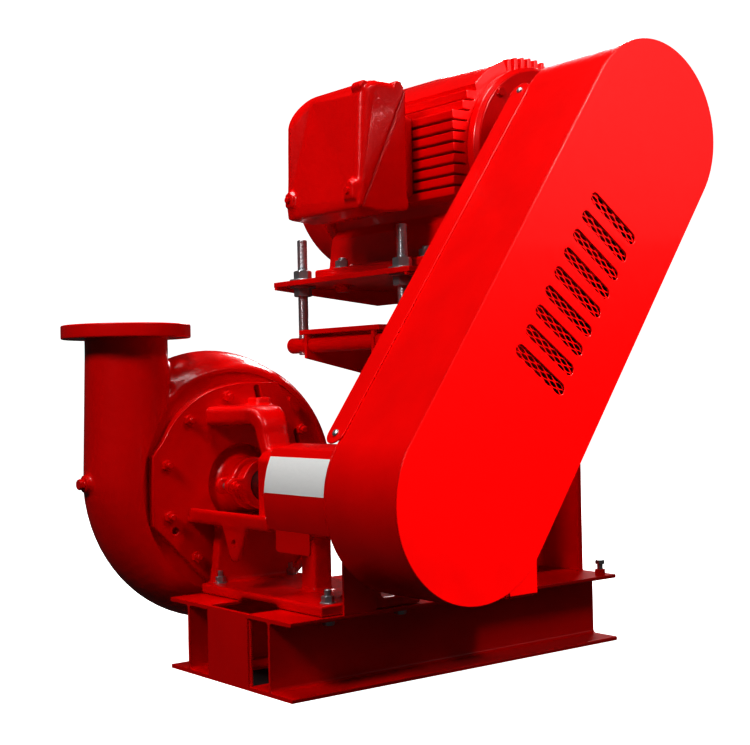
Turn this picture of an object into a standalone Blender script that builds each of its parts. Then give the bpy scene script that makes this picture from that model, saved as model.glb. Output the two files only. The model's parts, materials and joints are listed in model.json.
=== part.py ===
"""Belt-driven centrifugal pump with its electric motor carried overhead on a two-beam skid.

Metres, +Z up. Sizes are laid out from the skid's near left bottom corner: +X runs along the beams,
+Y along the pump's shaft from the belt guard towards the casing. An empty shifts everything so that
the origin lies under the middle of the whole machine.
"""
import math

import bmesh
import bpy
from mathutils import Matrix, Vector

# Small gap kept between pieces that touch, and the running clearance round shafts
GAP = 0.0003
RUN = 0.0005
# How far cast pieces run into each other before they are joined, and the set-off that keeps two of
# their faces out of one plane
BITE = 0.004
OFFSET = 0.0005

# Skid: two 6 inch H beams with closing plates between them
SKID_LENGTH = 0.9144
SKID_WIDTH = 0.4572
BEAM = 0.1524
BEAM_FLANGE = 0.0085
BEAM_WEB = 0.0066
END_PLATE = 0.008
SKID_TOP = BEAM

# Pump shaft line
AXIS_X = 0.204
AXIS_Z = 0.387
SHAFT_R = 0.030
SLEEVE_R = 0.035
WHEEL_SEAT_R = 0.024
SHAFT_END_Y = -0.252
BLADES = 5
BLADE = 0.008
BLADE_SWEEP = 80
JOURNAL_R = 0.0455

# Bearing frame, one casting
FRAME_FACE_Y = 0.480
FRAME_FLANGE = 0.022
FRAME_SIDE = 0.2275
FRAME_CUT = 0.082
FRAME_ROUND = 0.225
FRAME_BORE_R = 0.088
BARREL_R = 0.095
NOSE_Y = 0.272
BARREL_END_Y = -0.070
HOUSING_Y = 0.190
STRUT_TOP = 0.566
STRUT_UNDER = 0.520
STRUT_BEND_Y = 0.395
STRUT_BEND_R = 0.060
STRUT = 0.040
STRUT_KNEE = (0.325, 0.470)
STRUT_HEEL = (0.300, 0.462)
STRUT_SOLE = (0.338, 0.436)
STRUT_END_Z = (0.434, 0.458)
STRUT_ROOT_HALF = 0.125
STRUT_WAIST = (0.070, 0.430)
STRUT_NECK = (0.042, 0.370)
STRUT_END_HALF = 0.035
FLANGE_SHOULDER = 0.053
FLANGE_BREAK = (0.218, 0.067)
FLANGE_SLANT_X = 0.101
FLANGE_FLAT_X = -0.006
FLANGE_ROUND_LOW = 0.069
BARREL_CHAMFER = 0.012
HOUSING_SHOULDER = 0.062
HOUSING_CROWN = 0.080
SHELF_TOP = 0.320
SHELF = 0.012
SHELF_HALF = 0.144
SHELF_Y = 0.168
LIP_TOP = 0.340
LIP_END_Y = 0.473
LIP = 0.0085
LEG = 0.028
LEG_Y = 0.440
LEG_FOOT_X = (0.094, 0.314)
LEG_WAIST_X = (0.112, 0.296)
LEG_HEAD_X = (0.088, 0.320)
LEG_WAIST_Z = 0.300
MIDDLE_LEG = ((0.180, 0.172), (0.228, 0.222))
FRONT_LEG = ((0.178, 0.0085), (0.230, 0.070))
LUG_X = 0.066
LUG_Y = (0.245, 0.345)
LUG_TIP = (0.295, 0.251)
LUG_TIP_R = 0.016
LUG_HOLE = (0.294, 0.276)
ARCH_Y = (0.160, 0.297)
ARCH = 0.006
FOOT_LOW = (0.077, 0.0075)
FOOT_HIGH = (0.331, 0.457)
FOOT = 0.022

# Casing
CASING_Y = 0.570
JOINT_Y = FRAME_FACE_Y + FRAME_FLANGE + GAP
COVER_R = 0.180
COVER = 0.026
STUFFING_R = 0.058
STUFFING_Y = 0.425
EAR_X = 0.080
EAR_R = 0.019
EAR = 0.014
GLAND_R = 0.052
STUD_R = 0.0065
COVER_SIDES = 36
RECESS_R = 0.252
RIM_R = 0.262
RIM = 0.004
DOME_R = 0.289
CHAMBER_R = 0.196
WALL = 0.012
SPIRAL_R = 0.291
SPIRAL_GROWTH = 0.049
START_HALF = 0.062
START_WIDE = 0.070
FRONT_WALL = 0.010
CASING_BACK_Y = 0.632
THROAT_Z = 0.30
NECK_X = -0.035
NECK_R = 0.091
THROAT_R = 0.099
DISCHARGE_TOP = 0.746
DISCHARGE_FLANGE_R = 0.142
DISCHARGE_FLANGE = 0.030
SUCTION_FACE_Y = 0.780
SUCTION_FLANGE_R = 0.1715
SUCTION_FLANGE = 0.028
SUCTION_BORE_R = 0.1015
NECK_JOINT_Z = 0.685
NOZZLE_R = 0.122
NOZZLE_JOINT_Y = 0.675

# Motor, on a plate that hangs on four threaded rods
MOTOR_X = 0.720
MOTOR_Z = 1.112
MOTOR_D = 0.254
MOTOR_R = 0.205
MOTOR_BORE_R = 0.045
FIN_REACH = 0.236
FIN_ROUND_R = 0.228
FIN_TOP_R = 0.223
FIN_ROOT = 0.0042
FIN_TIP = 0.0026
SIDE_FINS = 10
SIDE_FIN_LOW = -0.093
SIDE_FIN_PITCH = 0.0237
TOP_FINS = 7
TOP_FIN_PITCH = 0.021
MOTOR_FRONT_Y = 0.050
MOTOR_REAR_Y = 0.560
MOTOR_SHAFT_R = 0.036
MOTOR_JOURNAL_R = 0.0375
FOOT_RAIL = 0.028
FOOT_IN = 0.165
FOOT_OUT = 0.243
PLATE_TOP = MOTOR_Z - MOTOR_D - GAP
PLATE = 0.012
PLATE_LOW = (0.400, 0.109)
PLATE_HIGH = (1.040, 0.629)
PLATE_RIB = 0.010
PLATE_RIB_TIP = 0.006
PLATE_RIB_DEEP = 0.038
ROD_R = 0.0127
ROD_X = (0.440, 1.000)
ROD_Y = (0.178, 0.560)
ROD_LOW = 0.679
ROD_TOP = 0.958
BOLT_Y = (0.185, 0.500)
BOLT_X = (MOTOR_X - 0.203, MOTOR_X + 0.203)

# Terminal box: the cover's face, the base's back, and the slanted joint between them in X and Z
BOX_FACE_X = 0.300
BOX_BACK_X = 0.440
BOX_Y = (0.152, 0.423)
BOX_CROWN = 1.264
BOX_CHIN = 0.960
BOX_CROWN_R = 0.038
BOX_NECK = ((0.185, 1.020), (0.390, 1.200))
BOX_SEAM = ((0.309, 0.982), (0.437, 1.253))

# Stand under the motor
COLUMN = 0.254
COLUMN_FLANGE = 0.0142
COLUMN_WEB = 0.0086
COLUMN_X = 0.660
COLUMN_Y = 0.102
STAND_TOP = 0.738
STAND_PLATE = 0.0115
STAND_LOW = (0.415, 0.236)
STAND_HIGH = (1.025, 0.545)
ANCHOR_R = 0.019
ANCHOR_Z = 0.702
ANCHOR_Y = (0.131, 0.607)
RIB = 0.010
RIB_TIP = 0.056
RIB_DEEP = 0.110
RIB_Y = (0.262, 0.522)

# Belt drive and its guard
SHEAVE_R = 0.150
GROOVE_R = 0.134
GROOVES = 4
BELT_STEPS = 15
GROOVE_PITCH = 0.0175
SHEAVE_Y = -0.200
GUARD_R = 0.190
GUARD_SHEET = 0.003
GUARD_FACE_Y = -0.309
GUARD_REAR_Y = -0.100
SHIELD_TOP = 150
SHIELD_LOW = 200
SHIELD_END_Y = 0.105
VENTS = 9
VENT_PITCH = 0.046
VENT_LENGTH = 0.150
VENT_WIDTH = 0.024
VENT_MESH = 0.002

# The origin lies under the middle of the whole machine's box
LOW_X = NECK_X - DISCHARGE_FLANGE_R
MID_X = (LOW_X + PLATE_HIGH[0]) / 2
MID_Y = (GUARD_FACE_Y + SUCTION_FACE_Y) / 2

# The belt drive leans from the pump's shaft up to the motor's
LEAN = math.atan2(MOTOR_X - AXIS_X, MOTOR_Z - AXIS_Z)
UP_GUARD = Vector((math.sin(LEAN), math.cos(LEAN)))
ACROSS_GUARD = Vector((math.cos(LEAN), -math.sin(LEAN)))

# Turns: local XY drawn in the world's XZ plane, local Z laid along world +Y, local Z along world +X
FACING_Y = Matrix.Rotation(math.radians(90), 4, "X")
ALONG_Y = Matrix.Rotation(math.radians(-90), 4, "X")
ALONG_X = Matrix(((0, 0, 1, 0), (1, 0, 0, 0), (0, 1, 0, 0), (0, 0, 0, 1)))


def at(x, y, z):
    return Matrix.Translation((x, y, z))


def clear_scene():
    for old in list(bpy.data.objects):
        bpy.data.objects.remove(old, do_unlink=True)


def new_collection(name):
    group = bpy.data.collections.new(name)
    bpy.context.scene.collection.children.link(group)
    return group


def finish(name, colour, roughness, metallic):
    material = bpy.data.materials.new(name)
    material.use_nodes = True
    shader = material.node_tree.nodes["Principled BSDF"]
    shader.inputs["Base Color"].default_value = (*colour, 1)
    shader.inputs["Roughness"].default_value = roughness
    shader.inputs["Metallic"].default_value = metallic
    return material


clear_scene()
MACHINE = new_collection("belt_driven_pump")
CUTTERS = new_collection("cutters")
ORIGIN = bpy.data.objects.new("skid_corner", None)
ORIGIN.location = (-MID_X, -MID_Y, 0)
MACHINE.objects.link(ORIGIN)

RED = finish("red_enamel", (0.72, 0.0, 0.0), 0.25, 0.0)
ZINC = finish("zinc_plated_steel", (0.55, 0.56, 0.58), 0.4, 1.0)
STEEL = finish("machined_steel", (0.45, 0.45, 0.46), 0.35, 1.0)
IRON = finish("cast_iron", (0.16, 0.16, 0.165), 0.6, 0.6)
RUBBER = finish("black_rubber", (0.02, 0.02, 0.02), 0.8, 0.0)


def add(name, mesh, place, material):
    """Puts a mesh in the machine, or among the cutters when it has no material."""
    thing = bpy.data.objects.new(name, mesh)
    thing.matrix_basis = place
    thing.parent = ORIGIN
    if material is None:
        thing.hide_render = True
        thing.display_type = "WIRE"
        CUTTERS.objects.link(thing)
    else:
        mesh.materials.append(material)
        MACHINE.objects.link(thing)
    return thing


def block(name, low, high, material=None):
    """Rectangular piece between two corners."""
    shape = bmesh.new()
    bmesh.ops.create_cube(shape, size=1)
    size = Vector(high) - Vector(low)
    bmesh.ops.scale(shape, vec=size, verts=shape.verts)
    mesh = bpy.data.meshes.new(name)
    shape.to_mesh(mesh)
    shape.free()
    middle = (Vector(high) + Vector(low)) / 2
    return add(name, mesh, Matrix.Translation(middle), material)


def bar(name, radius, length, place, material=None, sides=32):
    """Round bar with its middle at the place, along the place's own Z."""
    shape = bmesh.new()
    bmesh.ops.create_cone(
        shape, cap_ends=True, segments=sides, radius1=radius, radius2=radius, depth=length)
    mesh = bpy.data.meshes.new(name)
    shape.to_mesh(mesh)
    shape.free()
    mesh.shade_smooth()
    mesh.set_sharp_from_angle(angle=math.radians(40))
    return add(name, mesh, place, material)


def turned(name, profile, place, material=None, steps=48):
    """Turned piece: a closed profile of (radius, height) points, spun about the place's own Z."""
    mesh = bpy.data.meshes.new(name)
    points = [(radius, 0, height) for radius, height in profile]
    edges = [(i, (i + 1) % len(points)) for i in range(len(points))]
    mesh.from_pydata(points, edges, [])
    thing = add(name, mesh, place, material)
    spin = thing.modifiers.new("turn", "SCREW")
    spin.angle = math.tau
    spin.steps = steps
    spin.render_steps = steps
    spin.use_merge_vertices = True
    spin.merge_threshold = 0.0001
    spin.use_smooth_shade = False
    return thing


def sheet(name, outlines, thickness, place, material=None):
    """Flat piece cut from plate: closed outlines drawn in the place's own XY plane, made a mesh."""
    curve = bpy.data.curves.new(name, "CURVE")
    curve.dimensions = "2D"
    curve.fill_mode = "BOTH"
    curve.extrude = thickness / 2
    for outline in outlines:
        spline = curve.splines.new("POLY")
        spline.points.add(len(outline) - 1)
        for point, (x, y) in zip(spline.points, outline):
            point.co = (x, y, 0, 1)
        spline.use_cyclic_u = True
    drawn = bpy.data.objects.new(name, curve)
    bpy.context.scene.collection.objects.link(drawn)
    view = bpy.context.evaluated_depsgraph_get()
    mesh = bpy.data.meshes.new_from_object(drawn.evaluated_get(view))
    bpy.data.objects.remove(drawn)
    shape = bmesh.new()
    shape.from_mesh(mesh)
    bmesh.ops.remove_doubles(shape, verts=shape.verts, dist=0.00001)
    bmesh.ops.dissolve_limit(shape, angle_limit=0.001, verts=shape.verts, edges=shape.edges)
    bmesh.ops.recalc_face_normals(shape, faces=shape.faces)
    shape.to_mesh(mesh)
    shape.free()
    mesh.materials.clear()
    return add(name, mesh, place, material)


def boolean(target, operation, tools):
    for tool in tools:
        step = target.modifiers.new(tool.name, "BOOLEAN")
        step.operation = operation
        step.solver = "EXACT"
        step.object = tool
    return target


def cut(target, *tools):
    return boolean(target, "DIFFERENCE", tools)


def fuse(target, *tools):
    return boolean(target, "UNION", tools)


def circle(radius, sides, middle=(0, 0)):
    """Points round a circle."""
    turn = [math.tau * i / sides for i in range(sides)]
    return [(middle[0] + radius * math.cos(a), middle[1] + radius * math.sin(a)) for a in turn]


def arc(middle, radius, start, stop, steps):
    """Points along an arc, angles in degrees."""
    angles = [math.radians(start + (stop - start) * i / steps) for i in range(steps + 1)]
    return [(middle[0] + radius * math.cos(a), middle[1] + radius * math.sin(a)) for a in angles]


def rectangle(low, high):
    return [(low[0], low[1]), (high[0], low[1]), (high[0], high[1]), (low[0], high[1])]


def h_outline(width, depth, flange, web):
    """Outline of an H beam about its middle: flanges at top and bottom, web between."""
    half, tall, stem = width / 2, depth / 2, web / 2
    right = [(half, -tall), (half, flange - tall), (stem, flange - tall),
             (stem, tall - flange), (half, tall - flange), (half, tall)]
    left = [(-x, y) for x, y in reversed(right)]
    return right + left


def slot_outline(middle, along, length, width, steps=5):
    """Slot with round ends, its length along a direction."""
    reach = length / 2 - width / 2
    tilt = math.degrees(math.atan2(along[1], along[0]))
    one = (middle[0] + along[0] * reach, middle[1] + along[1] * reach)
    two = (middle[0] - along[0] * reach, middle[1] - along[1] * reach)
    near_end = arc(one, width / 2, tilt - 90, tilt + 90, steps)
    return near_end + arc(two, width / 2, tilt + 90, tilt + 270, steps)


def obround(radius, steps=20):
    """Belt-shaped outline round the pump's shaft and the motor's, in world X and Z."""
    lean = math.degrees(LEAN)
    top = arc((MOTOR_X, MOTOR_Z), radius, -lean, 180 - lean, steps)
    bottom = arc((AXIS_X, AXIS_Z), radius, 180 - lean, 360 - lean, steps)
    return top + bottom


def skid():
    outline = h_outline(BEAM, BEAM, BEAM_FLANGE, BEAM_WEB)
    for name, middle in (("near", BEAM / 2), ("far", SKID_WIDTH - BEAM / 2)):
        place = at(SKID_LENGTH / 2, middle, BEAM / 2) @ ALONG_X
        sheet("skid_beam_" + name, [outline], SKID_LENGTH, place, RED)
    low_y = BEAM + GAP
    high_y = SKID_WIDTH - BEAM - GAP
    for name, start in (("left", 0), ("right", SKID_LENGTH - END_PLATE)):
        block("skid_end_plate_" + name, (start, low_y, 0), (start + END_PLATE, high_y, BEAM), RED)


def frame_flange_outline():
    """Flange as cast: round at the upper left, a long slant at the upper right, cut corners below."""
    side, low = FRAME_SIDE, FRAME_CUT
    right = [(side, -low), (side, FLANGE_SHOULDER), FLANGE_BREAK, (FLANGE_SLANT_X, side),
             (FLANGE_FLAT_X, side)]
    left = [(-side, FLANGE_ROUND_LOW), (-side, -low), (-low, -side), (low, -side)]
    outline = right + arc((0, 0), FRAME_ROUND, 95, 154, 8) + left
    return [(AXIS_X + x, AXIS_Z + z) for x, z in outline]


def frame_strut():
    """Bent strut from the flange over the gland to the bearing housing, wide at its root."""
    root = FRAME_FACE_Y + BITE
    end = NOSE_Y - 0.010
    bend = (STRUT_BEND_Y, STRUT_TOP - BITE - STRUT_BEND_R)
    side = [(root, STRUT_UNDER), (root, STRUT_TOP)]
    side += arc(bend, STRUT_BEND_R, 90, 180, 6)
    side += [STRUT_KNEE, STRUT_HEEL, (end, STRUT_END_Z[1]), (end, STRUT_END_Z[0]), STRUT_SOLE]
    side += arc(bend, STRUT_BEND_R - STRUT, 180, 90, 4)
    half = [(STRUT_ROOT_HALF, root), STRUT_WAIST, STRUT_NECK, (STRUT_END_HALF, STRUT_KNEE[0] + 0.005),
            (STRUT_END_HALF, end)]
    plan = [(AXIS_X + x, y) for x, y in reversed(half)] + [(AXIS_X - x, y) for x, y in half]
    reach = 0.300
    strut = sheet("strut", [side], reach, at(AXIS_X, 0, 0) @ ALONG_X)
    outline = sheet("strut_plan", [plan], reach, at(0, 0, STRUT_TOP - 0.060))
    return boolean(strut, "INTERSECT", [outline])


def frame_housing(bore):
    """Square-sided bearing housing round the barrel's nose, its upper corners cut."""
    wall = BARREL_R + OFFSET
    low = SHELF_TOP - SHELF + 0.002
    outline = [(-wall, low), (wall, low), (wall, AXIS_Z + HOUSING_SHOULDER),
               (HOUSING_CROWN, AXIS_Z + HOUSING_CROWN), (-HOUSING_CROWN, AXIS_Z + HOUSING_CROWN),
               (-wall, AXIS_Z + HOUSING_SHOULDER)]
    front = NOSE_Y - OFFSET
    return sheet("housing", [outline, circle(bore + BITE, 24, (0, AXIS_Z))], front - HOUSING_Y,
                 at(AXIS_X, (front + HOUSING_Y) / 2, 0) @ FACING_Y)


def frame_tray():
    """Drip tray: a shelf with a lip along each side and a hanging lug with a hole."""
    under = SHELF_TOP - SHELF
    parts = [block("shelf", (AXIS_X - SHELF_HALF, SHELF_Y, under),
                   (AXIS_X + SHELF_HALF, FRAME_FACE_Y + BITE, SHELF_TOP))]
    for side in (-1, 1):
        lip_x = AXIS_X + side * (SHELF_HALF - LIP / 2 + OFFSET)
        parts.append(block("lip_%d" % side, (lip_x - LIP / 2, SHELF_Y + 0.001, SHELF_TOP - 0.006),
                           (lip_x + LIP / 2, LIP_END_Y, LIP_TOP)))
    head = LIP_TOP - 0.007
    tab = [(LUG_Y[0], head), (LUG_Y[1], head), (LUG_Y[1], under)]
    tab += arc(LUG_TIP, LUG_TIP_R, -15, -165, 4)
    tab += [(LUG_Y[0], under)]
    parts.append(sheet("lug", [tab[::-1], circle(0.008, 12, LUG_HOLE)], 0.010, at(LUG_X, 0, 0) @ ALONG_X))
    return parts


def frame_legs(floor):
    """Pedestal: waisted plate leg under the flange, two block legs, all on one long foot."""
    low, high = floor + 0.010, SHELF_TOP - BITE
    rear = [(LEG_FOOT_X[0], low), (LEG_FOOT_X[1], low), (LEG_WAIST_X[1], LEG_WAIST_Z),
            (LEG_HEAD_X[1], high), (LEG_HEAD_X[0], high), (LEG_WAIST_X[0], LEG_WAIST_Z)]
    return [
        block("foot", (*FOOT_LOW, floor), (*FOOT_HIGH, floor + FOOT)),
        sheet("rear_leg", [rear], LEG, at(0, LEG_Y, 0) @ FACING_Y),
        block("middle_leg", (*MIDDLE_LEG[0], low), (*MIDDLE_LEG[1], high)),
        block("front_leg", (*FRONT_LEG[0], low), (*FRONT_LEG[1], AXIS_Z - BARREL_R + 4 * BITE))]


def bearing_frame():
    """Cast frame: flange, strut, bearing housing, drip tray, pedestal and foot."""
    bore = JOURNAL_R + RUN
    profile = [(BARREL_R - BARREL_CHAMFER, NOSE_Y), (BARREL_R, NOSE_Y - BARREL_CHAMFER),
               (BARREL_R, BARREL_END_Y), (bore, BARREL_END_Y), (bore, NOSE_Y)]
    frame = turned("bearing_frame", profile, at(AXIS_X, 0, AXIS_Z) @ ALONG_Y, RED, 36)
    mouth = circle(FRAME_BORE_R, 32, (AXIS_X, AXIS_Z))
    flange = sheet("frame_flange", [frame_flange_outline(), mouth],
                   FRAME_FLANGE, at(0, FRAME_FACE_Y + FRAME_FLANGE / 2, 0) @ FACING_Y)
    floor = SKID_TOP + GAP
    fuse(frame, flange, frame_strut(), frame_housing(bore), *frame_tray(), *frame_legs(floor))
    cut(frame, block("foot_arch", (0, ARCH_Y[0], SKID_TOP - 0.010), (0.5, ARCH_Y[1], floor + ARCH)))


def stuffing_box():
    """Back cover of the casing with the stuffing box cast on it, and the gland that closes it."""
    back = JOINT_Y + COVER
    bore = SLEEVE_R + RUN
    profile = [
        (COVER_R - GAP, back), (COVER_R - GAP, JOINT_Y), (0.078, JOINT_Y), (0.062, JOINT_Y - 0.014),
        (STUFFING_R, JOINT_Y - 0.018), (STUFFING_R, STUFFING_Y), (bore, STUFFING_Y), (bore, back)]
    cover = turned("stuffing_box", profile, at(AXIS_X, 0, AXIS_Z) @ ALONG_Y, RED, COVER_SIDES)
    round_r = STUFFING_R + BITE
    ears = arc((EAR_X, 0), EAR_R, -70, 70, 6) + arc((0, 0), round_r, 45, 135, 6)
    ears += arc((-EAR_X, 0), EAR_R, 110, 250, 6) + arc((0, 0), round_r, 225, 315, 6)
    place = at(AXIS_X, 0.432, AXIS_Z) @ FACING_Y
    fuse(cover, sheet("box_ears", [ears, circle(0.045, 24)], EAR - 0.0001, place))
    low, high = 0.400, STUFFING_Y - 0.001
    profile = [(GLAND_R, high), (GLAND_R, low), (bore, low), (bore, high)]
    gland = turned("gland", profile, at(AXIS_X, 0, AXIS_Z) @ ALONG_Y, RED, 32)
    holes = [circle(STUD_R + 0.001, 12, (side * EAR_X, 0)) for side in (-1, 1)]
    place = at(AXIS_X, 0.395, AXIS_Z) @ FACING_Y
    fuse(gland, sheet("gland_ears", [ears, circle(bore, 24)] + holes, EAR, place))
    for name, side in (("left", -1), ("right", 1)):
        low, high = 0.372, STUFFING_Y - GAP
        place = at(AXIS_X + side * EAR_X, (low + high) / 2, AXIS_Z) @ ALONG_Y
        bar("gland_stud_" + name, STUD_R, high - low, place, ZINC, 12)


def volute_radius(turn):
    """Outer radius of the casing, growing clockwise from the cutwater at the top."""
    return SPIRAL_R + SPIRAL_GROWTH * (max(turn - 20, 0) / 250) ** 2


def snail(name, inset, top, material=None):
    """Spiral passage that swells from the cutwater round to the throat, then runs straight up. An
    inset one is the waterway, held flat behind the machined front."""
    rings = []
    sides = 16
    front = CASING_Y - JOINT_Y - FRONT_WALL if inset else math.inf
    for turn in range(0, 271, 15):
        part = turn / 270
        half = START_HALF + (THROAT_R - START_HALF) * part
        wide = START_WIDE + (NECK_R - START_WIDE) * part - inset
        middle = volute_radius(turn) - half
        half -= inset
        out = Vector((math.sin(math.radians(turn)), 0, math.cos(math.radians(turn))))
        rings.append([out * (middle + half * math.cos(a)) + Vector((0, max(wide * math.sin(a), -front), 0))
                      for a in (math.tau * i / sides for i in range(sides))])
    for height in (0.12, 0.24, top - AXIS_Z):
        part = min(height / THROAT_Z, 1)
        centre = (1 - part) * (THROAT_R - volute_radius(270)) + part * (NECK_X - AXIS_X)
        half = THROAT_R + (NECK_R - THROAT_R) * part - inset
        wide = NECK_R - inset
        near = front if height < RECESS_R - 0.1 else wide
        rings.append([Vector((centre - half * math.cos(a), max(wide * math.sin(a), -near), height))
                      for a in (math.tau * i / sides for i in range(sides))])
    shape = bmesh.new()
    loops = [[shape.verts.new(point) for point in ring] for ring in rings]
    for one, two in zip(loops, loops[1:]):
        for i in range(sides):
            j = (i + 1) % sides
            shape.faces.new((one[i], one[j], two[j], two[i]))
    shape.faces.new(loops[0][::-1])
    shape.faces.new(loops[-1])
    bmesh.ops.recalc_face_normals(shape, faces=shape.faces)
    mesh = bpy.data.meshes.new(name)
    shape.to_mesh(mesh)
    shape.free()
    return add(name, mesh, at(AXIS_X, CASING_Y, AXIS_Z), material)


def casing():
    """Volute casing with its upright discharge neck and its suction nozzle. The three are one casting;
    the neck and the nozzle are solids of their own, so that their bores stay open in collision."""
    back = CASING_BACK_Y
    mouth = SUCTION_BORE_R - 0.003
    inner = back - WALL - 0.010
    seat = COVER_R - 0.003
    on_axis = at(AXIS_X, 0, AXIS_Z) @ ALONG_Y
    profile = [
        (NOZZLE_R, NOZZLE_JOINT_Y), (0.160, back), (0.262, back - 0.012),
        (DOME_R, CASING_Y + 0.010), (DOME_R, CASING_Y - 0.020), (0.280, 0.525), (0.270, 0.507),
        (RIM_R, JOINT_Y - RIM), (seat, JOINT_Y - RIM), (seat, inner), (mouth, inner),
        (mouth, NOZZLE_JOINT_Y)]
    body = turned("pump_casing", profile, on_axis, RED, 40)
    sideways = Matrix.Rotation(math.radians(90), 4, "Y")
    plug = bar("drain_boss", 0.020, 0.030, at(-0.130, CASING_Y, 0.400) @ sideways, None, 12)
    fuse(body, snail("volute", 0, NECK_JOINT_Z), plug)
    recess = bar("machined_recess", RECESS_R, 0.1, at(AXIS_X, JOINT_Y - 0.05, AXIS_Z) @ ALONG_Y,
                 None, 48)
    chamber = bar("chamber", CHAMBER_R, 0.082, at(AXIS_X, 0.570, AXIS_Z) @ ALONG_Y, None, 40)
    opening = bar("cover_opening", COVER_R, 0.1, at(AXIS_X, JOINT_Y + 0.03, AXIS_Z) @ ALONG_Y,
                  None, COVER_SIDES)
    suction = bar("suction_bore", SUCTION_BORE_R, 0.3, at(AXIS_X, 0.70, AXIS_Z) @ ALONG_Y,
                  None, 36)
    waterway = snail("waterway", WALL, DISCHARGE_TOP + 0.02)
    cut(body, waterway, chamber, opening, suction, recess)

    neck = snail("discharge_neck", 0, DISCHARGE_TOP - 0.010, RED)
    flange = bar("discharge_flange", DISCHARGE_FLANGE_R, DISCHARGE_FLANGE,
                 at(NECK_X, CASING_Y, DISCHARGE_TOP - DISCHARGE_FLANGE / 2), None, 36)
    below = block("below_neck_joint", (-0.3, 0.3, 0), (0.6, 0.8, NECK_JOINT_Z + GAP))
    cut(fuse(neck, flange), waterway, below)

    joint = NOZZLE_JOINT_Y + GAP
    profile = [
        (SUCTION_FLANGE_R, SUCTION_FACE_Y), (SUCTION_FLANGE_R, SUCTION_FACE_Y - SUCTION_FLANGE),
        (0.126, SUCTION_FACE_Y - SUCTION_FLANGE), (NOZZLE_R, joint), (mouth, joint),
        (mouth, SUCTION_FACE_Y)]
    cut(turned("suction_nozzle", profile, on_axis, RED, 40), suction)
    bar("drain_plug", 0.012, 0.012, at(-0.1513, CASING_Y, 0.400) @ sideways, RED, 6)


def rotor():
    """Pump shaft and semi-open impeller."""
    tip, seat, shoulder = 0.594, 0.533, NOSE_Y - BARREL_CHAMFER
    journal_end, step_end = -0.068, -0.104
    profile = [
        (0.0, tip), (WHEEL_SEAT_R, tip), (WHEEL_SEAT_R, seat), (SLEEVE_R, seat), (SLEEVE_R, shoulder),
        (JOURNAL_R, shoulder), (JOURNAL_R, journal_end), (MOTOR_SHAFT_R, journal_end),
        (MOTOR_SHAFT_R, step_end), (SHAFT_R, step_end), (SHAFT_R, SHAFT_END_Y), (0.0, SHAFT_END_Y)]
    turned("pump_shaft", profile, at(AXIS_X, 0, AXIS_Z) @ ALONG_Y, STEEL, 24)
    bore = WHEEL_SEAT_R + GAP
    profile = [
        (bore, 0.592), (0.036, 0.592), (0.060, 0.553), (0.170, 0.546), (0.175, 0.538),
        (bore, 0.538)]
    wheel = turned("impeller", profile, at(AXIS_X, 0, AXIS_Z) @ ALONG_Y, IRON, 32)
    vanes = []
    for i in range(BLADES):
        inner = [(0.034 + 0.136 * t / 8, math.radians(BLADE_SWEEP * (t / 8) ** 0.9)) for t in range(9)]
        left = [(r * math.cos(a), r * math.sin(a)) for r, a in inner]
        right = [(r * math.cos(a + BLADE / r), r * math.sin(a + BLADE / r)) for r, a in inner]
        turn = Matrix.Rotation(math.tau * i / BLADES, 4, "Y")
        place = at(AXIS_X, 0.569, AXIS_Z) @ turn @ FACING_Y
        vanes.append(sheet("vane_%d" % i, [left + right[::-1]], 0.054, place))
    fuse(wheel, *vanes)


def sheave(name, x, z, bore):
    """Four-groove sheave with a web and a hub."""
    half = (GROOVES * GROOVE_PITCH + 0.006) / 2
    profile = [(SHEAVE_R, half)]
    for i in range(GROOVES):
        middle = (GROOVES - 1) / 2 * GROOVE_PITCH - i * GROOVE_PITCH
        profile += [(SHEAVE_R, middle + 0.0080), (GROOVE_R, middle + 0.0045),
                    (GROOVE_R, middle - 0.0045), (SHEAVE_R, middle - 0.0080)]
    rim, hub, web = 0.122, 0.064, 0.010
    profile += [(SHEAVE_R, -half), (rim, -half), (rim, -web), (hub, -web), (hub, -half), (bore, -half),
                (bore, half), (hub, half), (hub, web), (rim, web), (rim, half)]
    turned(name, profile, at(x, SHEAVE_Y, z) @ ALONG_Y, IRON, 28)


def belt():
    """Joined four-strand V belt, one closed loop round both sheaves."""
    half = (GROOVES * GROOVE_PITCH - 0.002) / 2
    section = [(0.0056, half), (0.0056, -half), (0.0008, -half)]
    for i in range(GROOVES):
        middle = -(GROOVES - 1) / 2 * GROOVE_PITCH + i * GROOVE_PITCH
        section += [(0.0008, middle - 0.0074), (-0.0130, middle - 0.0044),
                    (-0.0130, middle + 0.0044), (0.0008, middle + 0.0074)]
    section += [(0.0008, half)]
    path = []
    low = Vector((AXIS_X, AXIS_Z))
    high = Vector((MOTOR_X, MOTOR_Z))
    turn = -math.degrees(LEAN)
    for middle, start in ((high, turn), (low, turn + 180)):
        for i in range(BELT_STEPS + 1):
            angle = math.radians(start + 180 * i / BELT_STEPS)
            path.append((middle, Vector((math.cos(angle), math.sin(angle)))))
    wrap = 1 / math.cos(math.pi / BELT_STEPS / 2)
    shape = bmesh.new()
    rings = []
    for middle, out in path:
        ring = []
        for offset, side in section:
            spot = middle + out * (SHEAVE_R + offset) * wrap
            ring.append(shape.verts.new((spot.x, SHEAVE_Y + side, spot.y)))
        rings.append(ring)
    count = len(section)
    for i, ring in enumerate(rings):
        after = rings[(i + 1) % len(rings)]
        for j in range(count):
            k = (j + 1) % count
            shape.faces.new((ring[j], ring[k], after[k], after[j]))
    bmesh.ops.recalc_face_normals(shape, faces=shape.faces)
    mesh = bpy.data.meshes.new("drive_belt")
    shape.to_mesh(mesh)
    shape.free()
    add("drive_belt", mesh, Matrix.Identity(4), RUBBER)


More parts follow.
